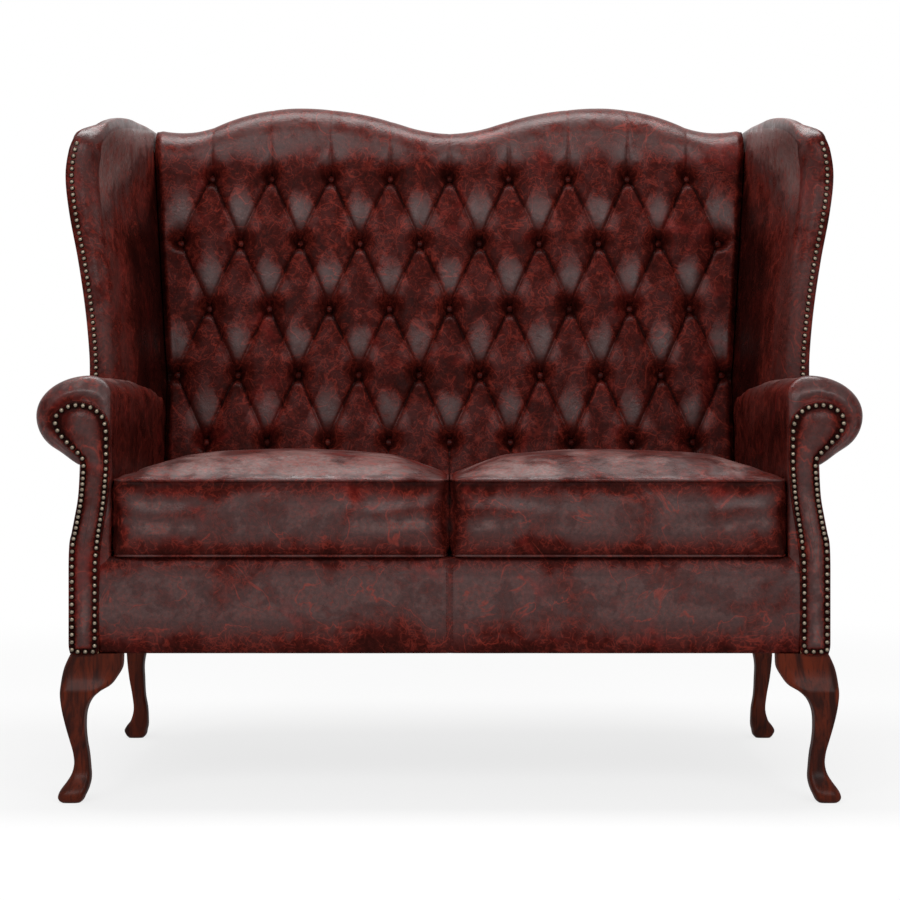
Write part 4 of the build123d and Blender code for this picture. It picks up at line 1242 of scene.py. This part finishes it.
seatStraps = [strapGrid((x, strap["seatStart"], strap["seatZ"]), (0, 1, 0), (0, 0, 1), strap["seatLength"],
                        strap["seatSag"]) for x in strapPlaces("seat")]
dress(joined("seat_straps", seatStraps), "webbing", ["seat_webbing"])
backStraps = [strapGrid(backPoint(x, strap["backLow"], strap["edge"]), (0, rakeSin, rakeCos),
                        (0, -rakeCos, rakeSin), strap["backLength"], 0.0) for x in strapPlaces("back")]
dress(joined("back_straps", backStraps), "webbing", ["back_webbing"])

# dust cover, notched round the legs
dustSize = {"half": 0.577, "front": -0.381043, "back": 0.2526, "notchX": 0.51, "notchFront": -0.322,
            "notchBack": 0.19, "z": 0.2295, "sag": 0.0035}


def makeDust():
    half, front, back, notchX = (dustSize[key] for key in ("half", "front", "back", "notchX"))
    notchFront, notchBack = dustSize["notchFront"], dustSize["notchBack"]
    ear = np.linspace(notchX, half, 4)
    xs = np.unique(np.concatenate([np.linspace(-notchX, notchX, 40), ear, -ear]))
    between = np.linspace(notchFront, notchBack, 24)
    ys = np.unique(np.concatenate([[front, notchFront], between, [notchBack, back]]))
    points, faces, known = [], [], {}
    area = 0.0

    def spot(i, j):
        if (i, j) not in known:
            x, y = xs[i], ys[j]
            edge = min(half - abs(x), y - front, back - y)
            known[(i, j)] = len(points)
            z = dustSize["z"] - dustSize["sag"] * ease(0.0, 0.25, edge) - 0.0004 * ripple(x, y, 1, 0.08)
            points.append((x, y, z))
        return known[(i, j)]
    for i in range(len(xs) - 1):
        for j in range(len(ys) - 1):
            mx, my = abs(xs[i] + xs[i + 1]) / 2, (ys[j] + ys[j + 1]) / 2
            if mx > notchX and (my < notchFront or my > notchBack):
                continue
            faces.append((spot(i, j), spot(i, j + 1), spot(i + 1, j + 1), spot(i + 1, j)))
            area += (xs[i + 1] - xs[i]) * (ys[j + 1] - ys[j])
    return meshOf("dust_cloth", points, faces), area


dust, dustArea = makeDust()
dress(dust, "lining", ["dust_cover"])
print("stage underside")

# floor, light and camera
stage = {
    "height": 0.558, "distance": 2.98, "focal": 1925.0, "image": 900.0, "middleX": 449.5,
    "horizon": 442.0, "sensor": 36.0, "floor": 14.0, "glow": 0.78, "world": 0.3, "near": 0.9, "far": 3.0}
span = stage["floor"]
corners = [(-span, -span, 0), (span, -span, 0), (span, span, 0), (-span, span, 0)]
floor = meshOf("floor", corners, [(0, 1, 2, 3)])
floorPaint = Paint("floor")
floorPaint.set(Base_Color=floorPaint.blend(floorPaint.noise(3.0), (0.84, 0.84, 0.84), (0.87, 0.87, 0.87)),
               Roughness=0.95, Specular_IOR_Level=0.1)
# the camera sees the floor lifted to white, with what is left of its own shading
glow = floorPaint.fill(floorPaint.add("ShaderNodeEmission"), Strength=1.0)
away = floorPaint.add("ShaderNodeVectorMath", operation="LENGTH")
floorPaint.put(floorPaint.place, away.inputs[0])
lift = floorPaint.span(away.outputs["Value"], stage["near"], stage["far"], stage["glow"], 1.0)
share = floorPaint.times(seenDirectly(floorPaint.tree), lift)
mixShaders(floorPaint.tree, "Material Output", share, floorPaint.shader.outputs[0], glow.outputs[0])
floor.data.materials.append(floorPaint.material)

world = bpy.data.worlds.new("studio")
scene.world = world
world.use_nodes = True
tree = world.node_tree
light = tree.nodes["Background"]
light.inputs[0].default_value = (1, 1, 1, 1)
light.inputs[1].default_value = stage["world"]
seenWhite = tree.nodes.new("ShaderNodeBackground")
seenWhite.inputs[0].default_value = (1, 1, 1, 1)
mixShaders(tree, "World Output", seenDirectly(tree), light.outputs[0], seenWhite.outputs[0])


def areaLight(name, place, aim, size, power):
    made = bpy.data.lights.new(name, "AREA")
    made.shape = "RECTANGLE"
    made.size, made.size_y = size
    made.energy = power
    obj = bpy.data.objects.new(name, made)
    scene.collection.objects.link(obj)
    obj.location = place
    way = np.array(aim) - np.array(place)
    obj.rotation_euler = Vector(way).to_track_quat("-Z", "Y").to_euler()


areaLight("above", (0, 0.2, 3.0), (0, 0.1, 0.5), (2.6, 0.8), 80)
areaLight("key", (-1.2, -3.2, 2.7), (0, 0, 0.6), (2.2, 1.2), 45)
areaLight("fill", (1.4, -3.2, 2.4), (0, 0, 0.6), (2.0, 1.2), 36)

cam = bpy.data.cameras.new("camera")
cam.sensor_width = stage["sensor"]
cam.lens = stage["focal"] / stage["image"] * stage["sensor"]
cam.shift_x = (stage["image"] / 2 - stage["middleX"]) / stage["image"]
cam.shift_y = -(stage["image"] / 2 - stage["horizon"]) / stage["image"]
eye = bpy.data.objects.new("camera", cam)
eye.location = (0, sofa["armFront"] - stage["distance"], stage["height"])
eye.rotation_euler = (math.pi / 2, 0, 0)
scene.collection.objects.link(eye)
scene.camera = eye
scene.view_settings.view_transform = "Standard"
